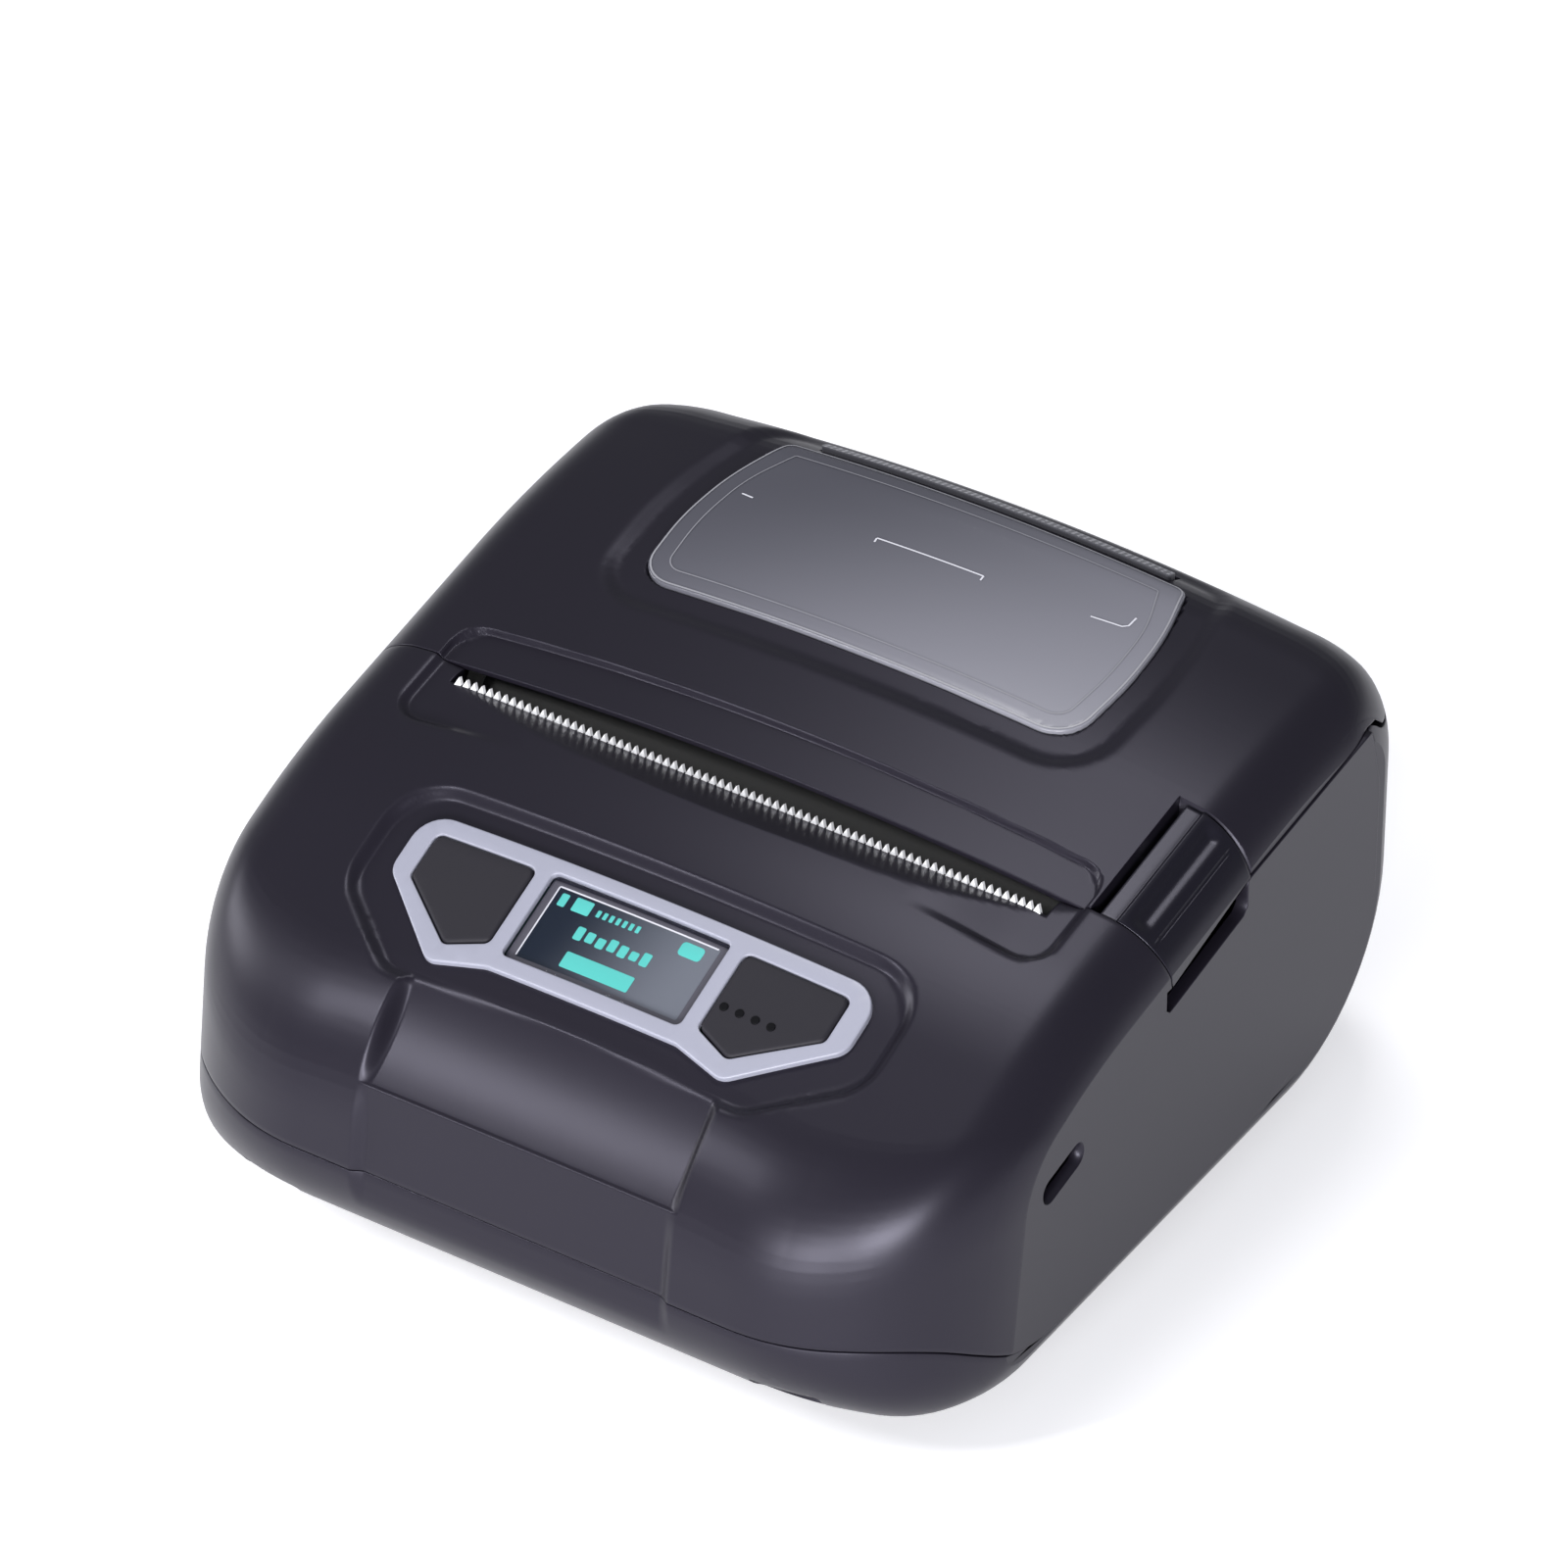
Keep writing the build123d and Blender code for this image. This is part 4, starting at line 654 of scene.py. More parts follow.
    def build(self) -> bpy.types.Object:
        """Builds the displaced skin, its side walls and its rims, and merges them.

        The skin's normals are the cross products of its two directions, turned to point outwards.
        A rim follows an edge of the skin inwards by a small bevel and then straight down.

        Returns:
            The mesh object.
        """
        xs, ns = self.stations, len(self.fractions)
        arcs = np.array([self.arc(x) for x in xs])
        skin = np.concatenate([np.repeat(xs[:, None, None], ns, 1), arcs], 2)
        normals = unit(np.cross(np.gradient(skin, axis=1), np.gradient(skin, axis=0)))
        outwards = np.sum(normals * (skin - CENTRE), axis=2) >= 0
        normals *= np.where(outwards, 1.0, -1.0)[..., None]
        moved = self.displace(skin, normals)
        draft = Draft()
        rows = draft.add(moved.reshape(-1, 3)).reshape(len(xs), ns)
        draft.faces += quads(rows[:-1, :-1], rows[1:, :-1], rows[1:, 1:], rows[:-1, 1:])
        rims = [(rows[:, j], normals[:, j], unit(moved[:, k] - moved[:, j])) for j, k in ((0, 1), (-1, -2))]
        if not self.left_wall:
            rims.append((rows[0], normals[0], np.tile([1.0, 0.0, 0.0], (ns, 1))))
        for i in (0, -1) if self.left_wall else (-1,):
            rims.append(self.side_wall(draft, rows[i], arcs[i], xs[i]))
        edges = draft.points
        for ids, normal, inwards in rims:
            chain = ids
            for out, down in ((0.7 * EDGE, 0.3 * EDGE), (EDGE, EDGE), (EDGE, self.rim)):
                ring = draft.add(edges[ids] - inwards * out - normal * down)
                draft.faces += quads(chain[:-1], chain[1:], ring[1:], ring[:-1])
                chain = ring
        piece = make_piece(self.name, draft.points, draft.faces)
        merged = bmesh.new()
        merged.from_mesh(piece.data)
        bmesh.ops.remove_doubles(merged, verts=merged.verts, dist=2e-6)
        bmesh.ops.recalc_face_normals(merged, faces=merged.faces)
        merged.to_mesh(piece.data)
        merged.free()
        shade_soft(piece.data)
        return piece


@dataclass(frozen=True)
class Hole:
    """Hole through the faces of a moulding that lie in a box.

    The outline is convex, and drop is how far the new edge runs on as a wall of the hole.
    """

    outline: Array
    view: View
    low: Sequence[float]
    high: Sequence[float]
    drop: Point = (0.0, 0.0, 0.0)

    def cut(self, piece: bpy.types.Object) -> None:
        """Splits the faces along each side of the outline and removes those inside it.

        Args:
            piece: object to cut.
        """
        mesh, axes = piece.data, list(self.view.value)
        work = bmesh.new()
        work.from_mesh(mesh)
        work.faces.ensure_lookup_table()
        centres = np.empty(len(mesh.polygons) * 3)
        mesh.polygons.foreach_get("center", centres)
        centres = centres.reshape(-1, 3)
        held = (centres > np.array(self.low) * MM) & (centres < np.array(self.high) * MM)
        faces = [work.faces[int(k)] for k in np.where(np.all(held, axis=1))[0]]
        geom = faces + list({e for f in faces for e in f.edges}) + list({v for f in faces for v in f.verts})
        path = counter_clockwise(self.outline) * MM
        for a, b in zip(path, np.roll(path, -1, axis=0)):
            d = b - a
            if np.linalg.norm(d) < 1e-7:
                continue
            normal, origin = np.zeros(3), np.zeros(3)
            normal[axes], origin[axes] = (d[1], -d[0]), a
            geom = bmesh.ops.bisect_plane(work, geom=geom, dist=1e-8, plane_co=Vector(origin),
                                          plane_no=Vector(normal).normalized())["geom"]
        faces = [f for f in geom if isinstance(f, bmesh.types.BMFace)]
        gone = inside_polygon(np.array([list(f.calc_center_median()) for f in faces])[:, axes], path)
        removed = {f for f, g in zip(faces, gone) if g}
        edges = {e for f in removed for e in f.edges}
        rim = [e for e in edges if any(f not in removed for f in e.link_faces)]
        bmesh.ops.delete(work, geom=list(removed), context="FACES_ONLY")
        if rim and np.any(self.drop):
            made = bmesh.ops.extrude_edge_only(work, edges=[e for e in rim if e.is_valid])["geom"]
            below = [v for v in made if isinstance(v, bmesh.types.BMVert)]
            bmesh.ops.translate(work, vec=Vector(self.drop) * MM, verts=below)
        bmesh.ops.delete(work, geom=[e for e in work.edges if not e.link_faces], context="EDGES")
        bmesh.ops.delete(work, geom=[v for v in work.verts if not v.link_edges], context="VERTS")
        work.to_mesh(mesh)
        work.free()
        shade_soft(mesh)


# Outlines and recesses of the case

def mirrored(right: Outline) -> Outline:
    """Closed outline from its right half, listed from top to bottom."""
    return list(right) + [(-u, v) for u, v in reversed(right)]


def key_outline(side: int, shrink: float) -> Array:
    """Outline of one key on the panel.

    Args:
        side: -1 for the left key, 1 for the right one.
        shrink: how far it is drawn in on all sides.

    Returns:
        Closed outline.
    """
    corners = [(19.8 + shrink, 8.2 - shrink), (39.6 - shrink, 8.2 - shrink), (39.6 - shrink, -0.5),
               (27.0, -10.0 + shrink), (19.8 + shrink, -7.0 + shrink)]
    return rounded_path([(side * u, v) for u, v in corners], [1.5] * 5, True, 5)


def window_outline(grow: float, extra_rear: float = 0.0) -> Array:
    """Outline of the window in the plan.

    Args:
        grow: how far it is grown all round.
        extra_rear: how much further it is grown at the rear.

    Returns:
        Closed outline.
    """
    corners = []
    for x, y in [(38.8, 64.2), (42.4, 51.0), (43.4, 38.0), (42.0, 22.0)]:
        corners.append((x + grow, y + (grow + extra_rear if y > 60 else (-grow if y < 25 else 0.0))))
    radii = [max(r + grow, 0.5) for r in (2.5, 60, 60, 7)]
    return rounded_path([(-x, y) for x, y in corners] + corners[::-1], radii + radii[::-1])


DISPLAY_CORNERS = [(-17, 8.8), (-17, -8), (17, -8), (17, 8.8)]
KEY_OPENING = [(19.6, 8.4), (39.8, 8.4), (39.8, -0.6), (27.0, -10.3), (19.6, -7.2)]
BEZEL = rounded_path(mirrored([(43.5, 11.4), (43.5, -0.5), (28.0, -13.7), (18.0, -11.0)]),
                     [6, 4, 3, 4, 4, 3, 4, 6])
DISPLAY = rounded_path(DISPLAY_CORNERS, [1.2] * 4, True, 5)
LENS_SCALE = 0.985
POCKET = rounded_path(mirrored([(49.5, 16.4), (49.5, -5.0), (34.0, -17.5)]), [10, 9, 6, 6, 9, 10])
EXIT = rounded_path([(-62, -19.5), (62, -19.5), (62, 2.5), (-62, 2.5)], [5] * 4)
WINDOW = window_outline(0.0)
WINDOW_RING = window_outline(5.6, 1.2)


def band_depth(p: Array, n: Array) -> Array:
    """Depth of the band: along each normal to the nearest crossing with the floor's profile.

    Args:
        p: points of the skin.
        n: their normals.

    Returns:
        The depth at each point.
    """
    depth = np.zeros(p.shape[:2])
    near = (np.abs(p[..., 0]) < BAND.half + 2.5) & (p[..., 1] < BAND.rear_y) & (p[..., 2] > BAND.low_z - 1)
    if not near.any():
        return depth
    q, d = p[near][:, 1:], unit(-n[near][:, 1:])
    best = np.full(len(q), np.inf)
    path = BAND.profile()
    for a, b in zip(path[:-1], path[1:]):
        e, w = b - a, a - q
        det = d[:, 0] * (-e[1]) + d[:, 1] * e[0]
        det = np.where(np.abs(det) < 1e-9, 1e-9, det)
        t = (w[:, 0] * (-e[1]) + w[:, 1] * e[0]) / det
        s = (d[:, 0] * w[:, 1] - d[:, 1] * w[:, 0]) / det
        ok = (s >= -0.02) & (s <= 1.02) & (t > 0) & (t < BAND.deepest)
        best = np.where(ok, np.minimum(best, t), best)
    side = 1 - smoothstep(BAND.half - BAND.soft, BAND.half + BAND.soft, np.abs(p[near][:, 0]))
    fade = smoothstep(BAND.low_z, BAND.low_z + BAND.fade, p[near][:, 2])
    depth[near] = np.where(np.isfinite(best), best, 0.0) * side * fade
    return depth


def front_displace(p: Array, n: Array) -> Array:
    """Presses the key pocket, the band and the valley ahead of the tear bar.

    Each recess is a depth times smooth steps of the distance to its outline. The valley is a
    profile in Y down to which the skin falls between its two ends.

    Args:
        p: points of the skin.
        n: their normals.

    Returns:
        The moved points.
    """
    a = math.radians(FORM.panel_slope)
    rise = (p[..., 1] - FORM.panel_y) * math.cos(a) + (p[..., 2] - FORM.panel_z) * math.sin(a)
    facing = smoothstep(0.3, 0.6, n[..., 2])
    distance = signed_distance(np.stack([p[..., 0], rise], -1), POCKET)
    pocket = RECESS.pocket * (1 - smoothstep(-1.3, 1.1, distance)) * facing
    ends = smoothstep(36, 57, np.abs(p[..., 0]))
    recess = RECESS.exit * (1 - smoothstep(-1.0, 1.0, signed_distance(p[..., :2], EXIT))) * ends * facing
    out = p - n * np.maximum(np.maximum(pocket, band_depth(p, n)), recess)[..., None]
    tear_y, tear_z = FORM.lid_y - RECESS.tear_back, FORM.lid_z - RECESS.tear_drop
    front_y = FORM.lid_y - RECESS.valley_front
    top = FORM.lid_z + math.tan(math.radians(FORM.lid_slope)) * (front_y - FORM.lid_y)
    valley = np.interp(out[..., 1], [front_y + 0.4, tear_y - 1.5, tear_y + 6],
                       [top + 0.4, tear_z - 0.9, tear_z - 1.2])
    across, end = np.abs(out[..., 0]), RECESS.valley_half
    inside = (across < end) & (out[..., 1] > front_y - 1)
    drop = np.where(inside, np.maximum(out[..., 2] - valley, 0.0), 0.0)
    out[..., 2] -= drop * (1 - smoothstep(end - 0.8, end + 0.2, across))
    return out


def lid_displace(p: Array, n: Array) -> Array:
    """Presses the step of the paper exit and the window's frame into the lid's top.

    Args:
        p: points of the skin.
        n: their normals.

    Returns:
        The moved points.
    """
    top = smoothstep(0.35, 0.6, n[..., 2])
    exit_step = RECESS.exit * (1 - smoothstep(-0.22, 0.22, signed_distance(p[..., :2], EXIT)))
    ring = RECESS.ring * (1 - smoothstep(-1.9, 1.7, signed_distance(p[..., :2], WINDOW_RING)))
    seat = RECESS.seat * (1 - smoothstep(-0.15, 0.15, signed_distance(p[..., :2], WINDOW)))
    return p - n * (np.maximum(exit_step, ring + seat) * top)[..., None]


def lower_displace(p: Array, n: Array) -> Array:
    """Continues the band on the lower moulding."""
    return p - n * band_depth(p, n)[..., None]


def lever_displace(p: Array, n: Array) -> Array:
    """Presses the lever's flat inner strip, its sine-squared valley and the thin line beside it.

    Args:
        p: points of the skin.
        n: their normals.

    Returns:
        The moved points.
    """
    low, high = LEVER.valley_x - LEVER.valley_width / 2, LEVER.valley_x + LEVER.valley_width / 2
    rear = smoothstep(LEVER.rear_y - 3.0, LEVER.rear_y - 0.6, p[..., 1])
    ends = smoothstep(-4.2, -1.2, p[..., 1]) * (1 - rear)
    across = np.clip((p[..., 0] - low) / (high - low), 0, 1)
    valley = LEVER.valley_depth * np.sin(math.pi * across) ** 2 * ends
    step = LEVER.step_depth * (1 - smoothstep(LEVER.ridge_x - 0.25, LEVER.ridge_x + 0.15, p[..., 0]))
    line = LEVER.line_depth * (1 - smoothstep(0.12, 0.3, np.abs(p[..., 0] - high - LEVER.line_gap))) * ends
    return p - n * (valley + step + line)[..., None]


class TopSkin:
    """Height of the case's outer skin over the plan, on which the small pieces are laid."""

    def __init__(self) -> None:
        """Works out the heights on a grid."""
        self.xs = np.linspace(-FORM.half, FORM.half, 120)
        self.ys = np.linspace(-78.0, 76.0, 460)
        rows = []
        for x in self.xs:
            outline = FORM.outline(x)
            front, rear = int(np.argmin(outline[:, 0])), int(np.argmax(outline[:, 0]))
            count = (front - rear) % len(outline)
            run = outline[(rear + np.arange(count, -1, -1)) % len(outline)]
            rows.append(np.interp(self.ys, run[:, 0], run[:, 1]))
        self.z = np.array(rows)

    def height(self, x: Array, y: Array) -> Array:
        """Height over the plan, linear between the four nearest grid points.

        Args:
            x: places along X.
            y: places along Y.

        Returns:
            The height at each place.
        """
        fx = np.clip((x - self.xs[0]) / (self.xs[1] - self.xs[0]), 0, len(self.xs) - 1.001)
        fy = np.clip((y - self.ys[0]) / (self.ys[1] - self.ys[0]), 0, len(self.ys) - 1.001)
        i, j = fx.astype(int), fy.astype(int)
        a, b, z = fx - i, fy - j, self.z
        return ((1 - a) * (1 - b) * z[i, j] + a * (1 - b) * z[i + 1, j]
                + (1 - a) * b * z[i, j + 1] + a * b * z[i + 1, j + 1])

    def on_top(self, uvw: Array) -> Array:
        """Lays points on the lid's top, each moved down along its normal.

        Args:
            uvw: plan coordinates and a depth.

        Returns:
            The points in space.
        """
        x, y, w = uvw.T
        step = 0.4
        gx = (self.height(x + step, y) - self.height(x - step, y)) / (2 * step)
        gy = (self.height(x, y + step) - self.height(x, y - step)) / (2 * step)
        n = unit(np.stack([-gx, -gy, np.ones_like(gx)], 1))
        return np.stack([x, y, self.height(x, y)], 1) - n * w[:, None]

    def on_panel(self, uvw: Array) -> Array:
        """Lays points on the key panel, square to its slope, by stepping towards the skin.

        Args:
            uvw: coordinates across and up the panel, and a depth.

        Returns:
            The points in space.
        """
        u, v, w = uvw.T
        c, s = math.cos(math.radians(FORM.panel_slope)), math.sin(math.radians(FORM.panel_slope))
        rise = np.zeros_like(u)
        for _ in range(12):
            rise += (self.height(u, FORM.panel_y + v * c - rise * s) - (FORM.panel_z + v * s + rise * c)) * c
        rise -= w
        return np.stack([u, FORM.panel_y + v * c - rise * s, FORM.panel_z + v * s + rise * c], 1)


def slab(name: str, loops: Sequence[Array], place: Place, top: float, bottom: float, edge: float,
         spacing: float = 2.0) -> bpy.types.Object:
    """Sheet with quarter-round upper edges and holes, laid on a curved surface.

    Args:
        name: name of the piece.
        loops: outer outline first, then the holes.
        place: maps outline coordinates and a depth to space.
        top: depth of its upper face below the skin.
        bottom: depth of its lower edge.
        edge: radius of its upper edges.
        spacing: distance of the lines along which it may bend.

    Returns:
        The mesh object.
    """
    work = bmesh.new()
    tops = []
    for index, loop in enumerate(loops):
        path = counter_clockwise(loop)
        rings = []
        for angle in np.radians((90, 67, 45, 22, 0)):
            inset = edge * (1 - math.cos(angle))
            rings.append((shrunk(path, inset if index == 0 else -inset), top + edge * (1 - math.sin(angle))))
        rings.append((path, bottom))
        rows = [[work.verts.new((u, v, -depth)) for u, v in ring] for ring, depth in rings]
        for upper, lower in zip(rows[:-1], rows[1:]):
            for quad in zip(upper, lower, lower[1:] + lower[:1], upper[1:] + upper[:1]):
                work.faces.new(quad if index == 0 else quad[::-1])
        tops += [work.edges.get(pair) for pair in zip(rows[0], rows[0][1:] + rows[0][:1])]
    bmesh.ops.triangle_fill(work, use_beauty=True, edges=tops)
    for axis in (0, 1):
        low, high = loops[0][:, axis].min(), loops[0][:, axis].max()
        for at in np.arange(math.ceil(low / spacing) * spacing, high, spacing):
            normal, origin = [0.0] * 3, [0.0] * 3
            normal[axis], origin[axis] = 1.0, at + 0.013
            geom = list(work.faces) + list(work.edges) + list(work.verts)
            bmesh.ops.bisect_plane(work, geom=geom, dist=1e-5, plane_co=origin, plane_no=normal)
    bmesh.ops.recalc_face_normals(work, faces=work.faces)
    flat = np.array([list(v.co) for v in work.verts]) * (1, 1, -1)
    for v, co in zip(work.verts, place(flat) * MM):
        v.co = co
    bmesh.ops.recalc_face_normals(work, faces=work.faces)
    piece = make_piece(name, np.zeros((0, 3)), [])
    work.to_mesh(piece.data)
    work.free()
    piece.data.polygons.foreach_set("use_smooth", np.ones(len(piece.data.polygons), bool))
    return piece


def ribbon(name: str, paths: Sequence[Sequence[Sequence[float]]], width: float, place: Place,
           depth: float) -> bpy.types.Object:
    """Thin flat lines along paths on a surface: each path moved half a width to both sides.

    Args:
        name: name of the piece.
        paths: open paths in outline coordinates.
        width: width of the lines.
        place: maps outline coordinates and a depth to space.
        depth: depth below the skin.

    Returns:
        The mesh object.
    """
    draft = Draft()
    for path in paths:
        path = np.array(path, float)
        runs = [np.linspace(p, q, max(2, int(np.linalg.norm(q - p) / 1.2) + 1))[:-1]
                for p, q in zip(path[:-1], path[1:])]
        path = np.concatenate(runs + [path[-1:]])
        ahead = unit(np.gradient(path, axis=0))
        side = np.stack([-ahead[:, 1], ahead[:, 0]], 1) * width / 2
        edges = [place(np.column_stack([path + s * side, np.full(len(path), depth)])) for s in (-1, 1)]
        rows = draft.add(np.stack(edges, 1).reshape(-1, 3)).reshape(-1, 2)
        draft.faces += quads(rows[:-1, 0], rows[1:, 0], rows[1:, 1], rows[:-1, 1])
    return make_piece(name, draft.points, draft.faces)


# Finishes

@dataclass(frozen=True)
class Paint:
    """Constants of one principled finish."""

    color: Point
    rough: float = 0.4
    metal: float = 0.0
    specular: float = 0.5
    grain: float = 0.0
    alpha: float = 1.0
    glow: float = 0.0
    tint: Point = (1.0, 1.0, 1.0)


@dataclass(frozen=True)
class Ramp:
    """Colour change along a direction of the object, in metres, used as painted light: one side of a piece
    painted lighter.
    """

    direction: Point
    start: float
    end: float
    first: Point
    last: Point


GRAIN_SCALE = 2000.0
GRAIN_HEIGHT = 0.00003
VIOLET = (0.84, 0.82, 1.0)
PAINTS: Dict[str, Paint] = {
    "case_plastic": Paint((0.009, 0.0078, 0.0125), 0.36, specular=0.3, grain=0.12, tint=VIOLET),
    "inner_plastic": Paint((0.004, 0.004, 0.005), 0.6, specular=0.1, grain=0.1),
    "lever_plastic": Paint((0.006, 0.0055, 0.009), 0.27, specular=0.3, tint=VIOLET),
    "window_plastic": Paint((0.085, 0.085, 0.105), 0.22, specular=0.4, alpha=0.88),
    "lens_clear": Paint((0.02, 0.03, 0.05), 0.06, specular=0.4, alpha=0.10),
    "strip_plastic": Paint((0.10, 0.10, 0.115)),
    "bezel_silver": Paint((0.27, 0.275, 0.34), 0.34),
    "key_rubber": Paint((0.014, 0.013, 0.018), 0.6, specular=0.25, grain=0.2),
    "platen_rubber": Paint((0.02, 0.02, 0.02), 0.7),
    "foot_rubber": Paint((0.015, 0.015, 0.015), 0.8),
    "guide_plastic": Paint((0.2, 0.21, 0.23), 0.5),
    "gear_plastic": Paint((0.7, 0.69, 0.64), 0.45),
    "blade_steel": Paint((0.95, 0.95, 0.97), 0.35, 0.25),
    "steel": Paint((0.6, 0.6, 0.62), 0.25, 1.0),
    "spring_steel": Paint((0.5, 0.5, 0.52), 0.3, 1.0),
    "sheet_steel": Paint((0.55, 0.56, 0.58), 0.35, 1.0),
    "socket_steel": Paint((0.65, 0.65, 0.66), 0.25, 1.0),
    "switch_metal": Paint((0.6, 0.6, 0.6), 0.3, 1.0),
    "screw_steel": Paint((0.12, 0.12, 0.13), 0.35, 1.0),
    "motor_steel": Paint((0.5, 0.5, 0.5), 0.35, 1.0),
    "brass": Paint((0.75, 0.55, 0.25), 0.25, 1.0),
    "aluminium": Paint((0.7, 0.7, 0.72), 0.3, 1.0),
    "head_ceramic": Paint((0.6, 0.58, 0.53), 0.2),
    "board_laminate": Paint((0.01, 0.09, 0.035), 0.3),
    "chip_black": Paint((0.015, 0.015, 0.015)),
    "battery_wrap": Paint((0.03, 0.06, 0.2), 0.3),
    "display_glass": Paint((0.01, 0.02, 0.045), 0.1),
    "mask_grey": Paint((0.07, 0.066, 0.085)),
    "screen_and_painted_reflection": Paint((0.02, 0.03, 0.05), 0.3),
    "icon_teal": Paint((0.07, 0.42, 0.39), glow=0.25),
    # painted light: light lines with a faint glow though they are no lamp; along the screen's left and top
    # edges they are a painted highlight
    "painted_glow_lines": Paint((0.62, 0.62, 0.68), 0.3, glow=0.1),
    "edge_soft": Paint((0.24, 0.24, 0.27), 0.3),
    # painted highlight: the light grey of the lit window rim and of the lit tops of the strip's ribs
    "rim_and_rib_highlight": Paint((0.30, 0.30, 0.33), 0.35),
    "dot_black": Paint((0.002, 0.002, 0.003), 0.6, specular=0.1),
    "floor": Paint((0.86, 0.86, 0.88), 0.6, specular=0.2, glow=0.42),
}
RAMPS: Dict[str, Ramp] = {
    # painted light: the window pane is painted lighter towards the front right, a gradient that stands in for
    # the light on it
    "window_plastic": Ramp((0.75, -0.66, 0.0), -0.062, 0.012, (0.085, 0.085, 0.105), (0.25, 0.25, 0.29)),
    # painted reflection: the screen is painted from near black at the left to grey at the right, standing in
    # for light reflected on its glass
    "screen_and_painted_reflection": Ramp((1.0, -0.25, 0.0), -0.001, 0.026, (0.002, 0.006, 0.016), (0.13, 0.14, 0.17)),
}


def add_node(tree: bpy.types.NodeTree, kind: str, inputs: Dict[object, object],
             **settings: str) -> bpy.types.Node:
    """Adds a shader node.

    Args:
        tree: node tree of the material.
        kind: type of the node, without its common first part.
        inputs: a value or a linked output for each input.
        settings: other settings of the node, made before its inputs.

    Returns:
        The node.
    """
    node = tree.nodes.new("ShaderNode" + kind)
    for key, value in settings.items():
        setattr(node, key, value)
    for key, value in inputs.items():
        if isinstance(value, bpy.types.NodeSocket):
            tree.links.new(value, node.inputs[key])
        else:
            node.inputs[key].default_value = value
    return node


class Finishes:
    """Makes each material once and hands it to pieces and CAD nodes."""

    def __init__(self) -> None:
        """Starts with no material made."""
        self.made: Dict[str, bpy.types.Material] = {}

    def dress(self, piece: bpy.types.Object, name: str) -> None:
        """Gives a piece the material of a slot.

        Args:
            piece: the object.
            name: slot name.
        """
        if name not in self.made:
            self.made[name] = self.make(name, PAINTS[name])
        piece.data.materials.clear()
        piece.data.materials.append(self.made[name])

    def make(self, name: str, paint: Paint) -> bpy.types.Material:
        """Builds the node tree of one finish, with its ramp of painted light and its grain where it has them.

        Args:
            name: slot name.
            paint: its constants.

        Returns:
            The material.
        """
        material = bpy.data.materials.new(name)
        material.use_nodes = True
        tree = material.node_tree
        shader = tree.nodes["Principled BSDF"]
        for socket, value in {"Base Color": (*paint.color, 1.0), "Roughness": paint.rough,
                              "Metallic": paint.metal, "Specular IOR Level": paint.specular,
                              "Alpha": paint.alpha, "Specular Tint": (*paint.tint, 1.0),
                              "Emission Color": (*paint.color, 1.0), "Emission Strength": paint.glow}.items():
            shader.inputs[socket].default_value = value
        if name in RAMPS:
            ramp = RAMPS[name]
            place = add_node(tree, "TexCoord", {}).outputs["Object"]
            dot = add_node(tree, "VectorMath", {0: place, 1: ramp.direction}, operation="DOT_PRODUCT")
            ends = {"Value": dot.outputs["Value"], "From Min": ramp.start, "From Max": ramp.end}
            span = add_node(tree, "MapRange", ends, interpolation_type="SMOOTHSTEP")
            colors = {0: span.outputs["Result"], 6: (*ramp.first, 1.0), 7: (*ramp.last, 1.0)}
            mix = add_node(tree, "Mix", colors, data_type="RGBA")
            tree.links.new(mix.outputs[2], shader.inputs["Base Color"])
        if paint.grain > 0:
            place = add_node(tree, "TexCoord", {}).outputs["Object"]
            noise = add_node(tree, "TexNoise", {"Vector": place, "Scale": GRAIN_SCALE, "Detail": 2.0})
            bump = add_node(tree, "Bump", {"Height": noise.outputs["Fac"], "Strength": paint.grain,
                                           "Distance": GRAIN_HEIGHT})
            tree.links.new(bump.outputs["Normal"], shader.inputs["Normal"])
        return material


# Sub-assemblies

@dataclass
class Looks:
    """A sub-assembly's dressed pieces."""

    finishes: Finishes
    skin: TopSkin

    def add(self, piece: bpy.types.Object, body: str, slot: str, node: str = "") -> bpy.types.Object:
        """Lets a piece ride on a body and dresses it.

        Args:
            piece: the new piece.
            body: body that carries it.
            slot: its finish.
            node: CAD node that it replaces, if it does.

        Returns:
            The piece.
        """
        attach(piece, body)
        if node:
            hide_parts(node)
        self.finishes.dress(piece, slot)
        log.info("%s: %d faces on %s", piece.name, len(piece.data.polygons), body)
        return piece


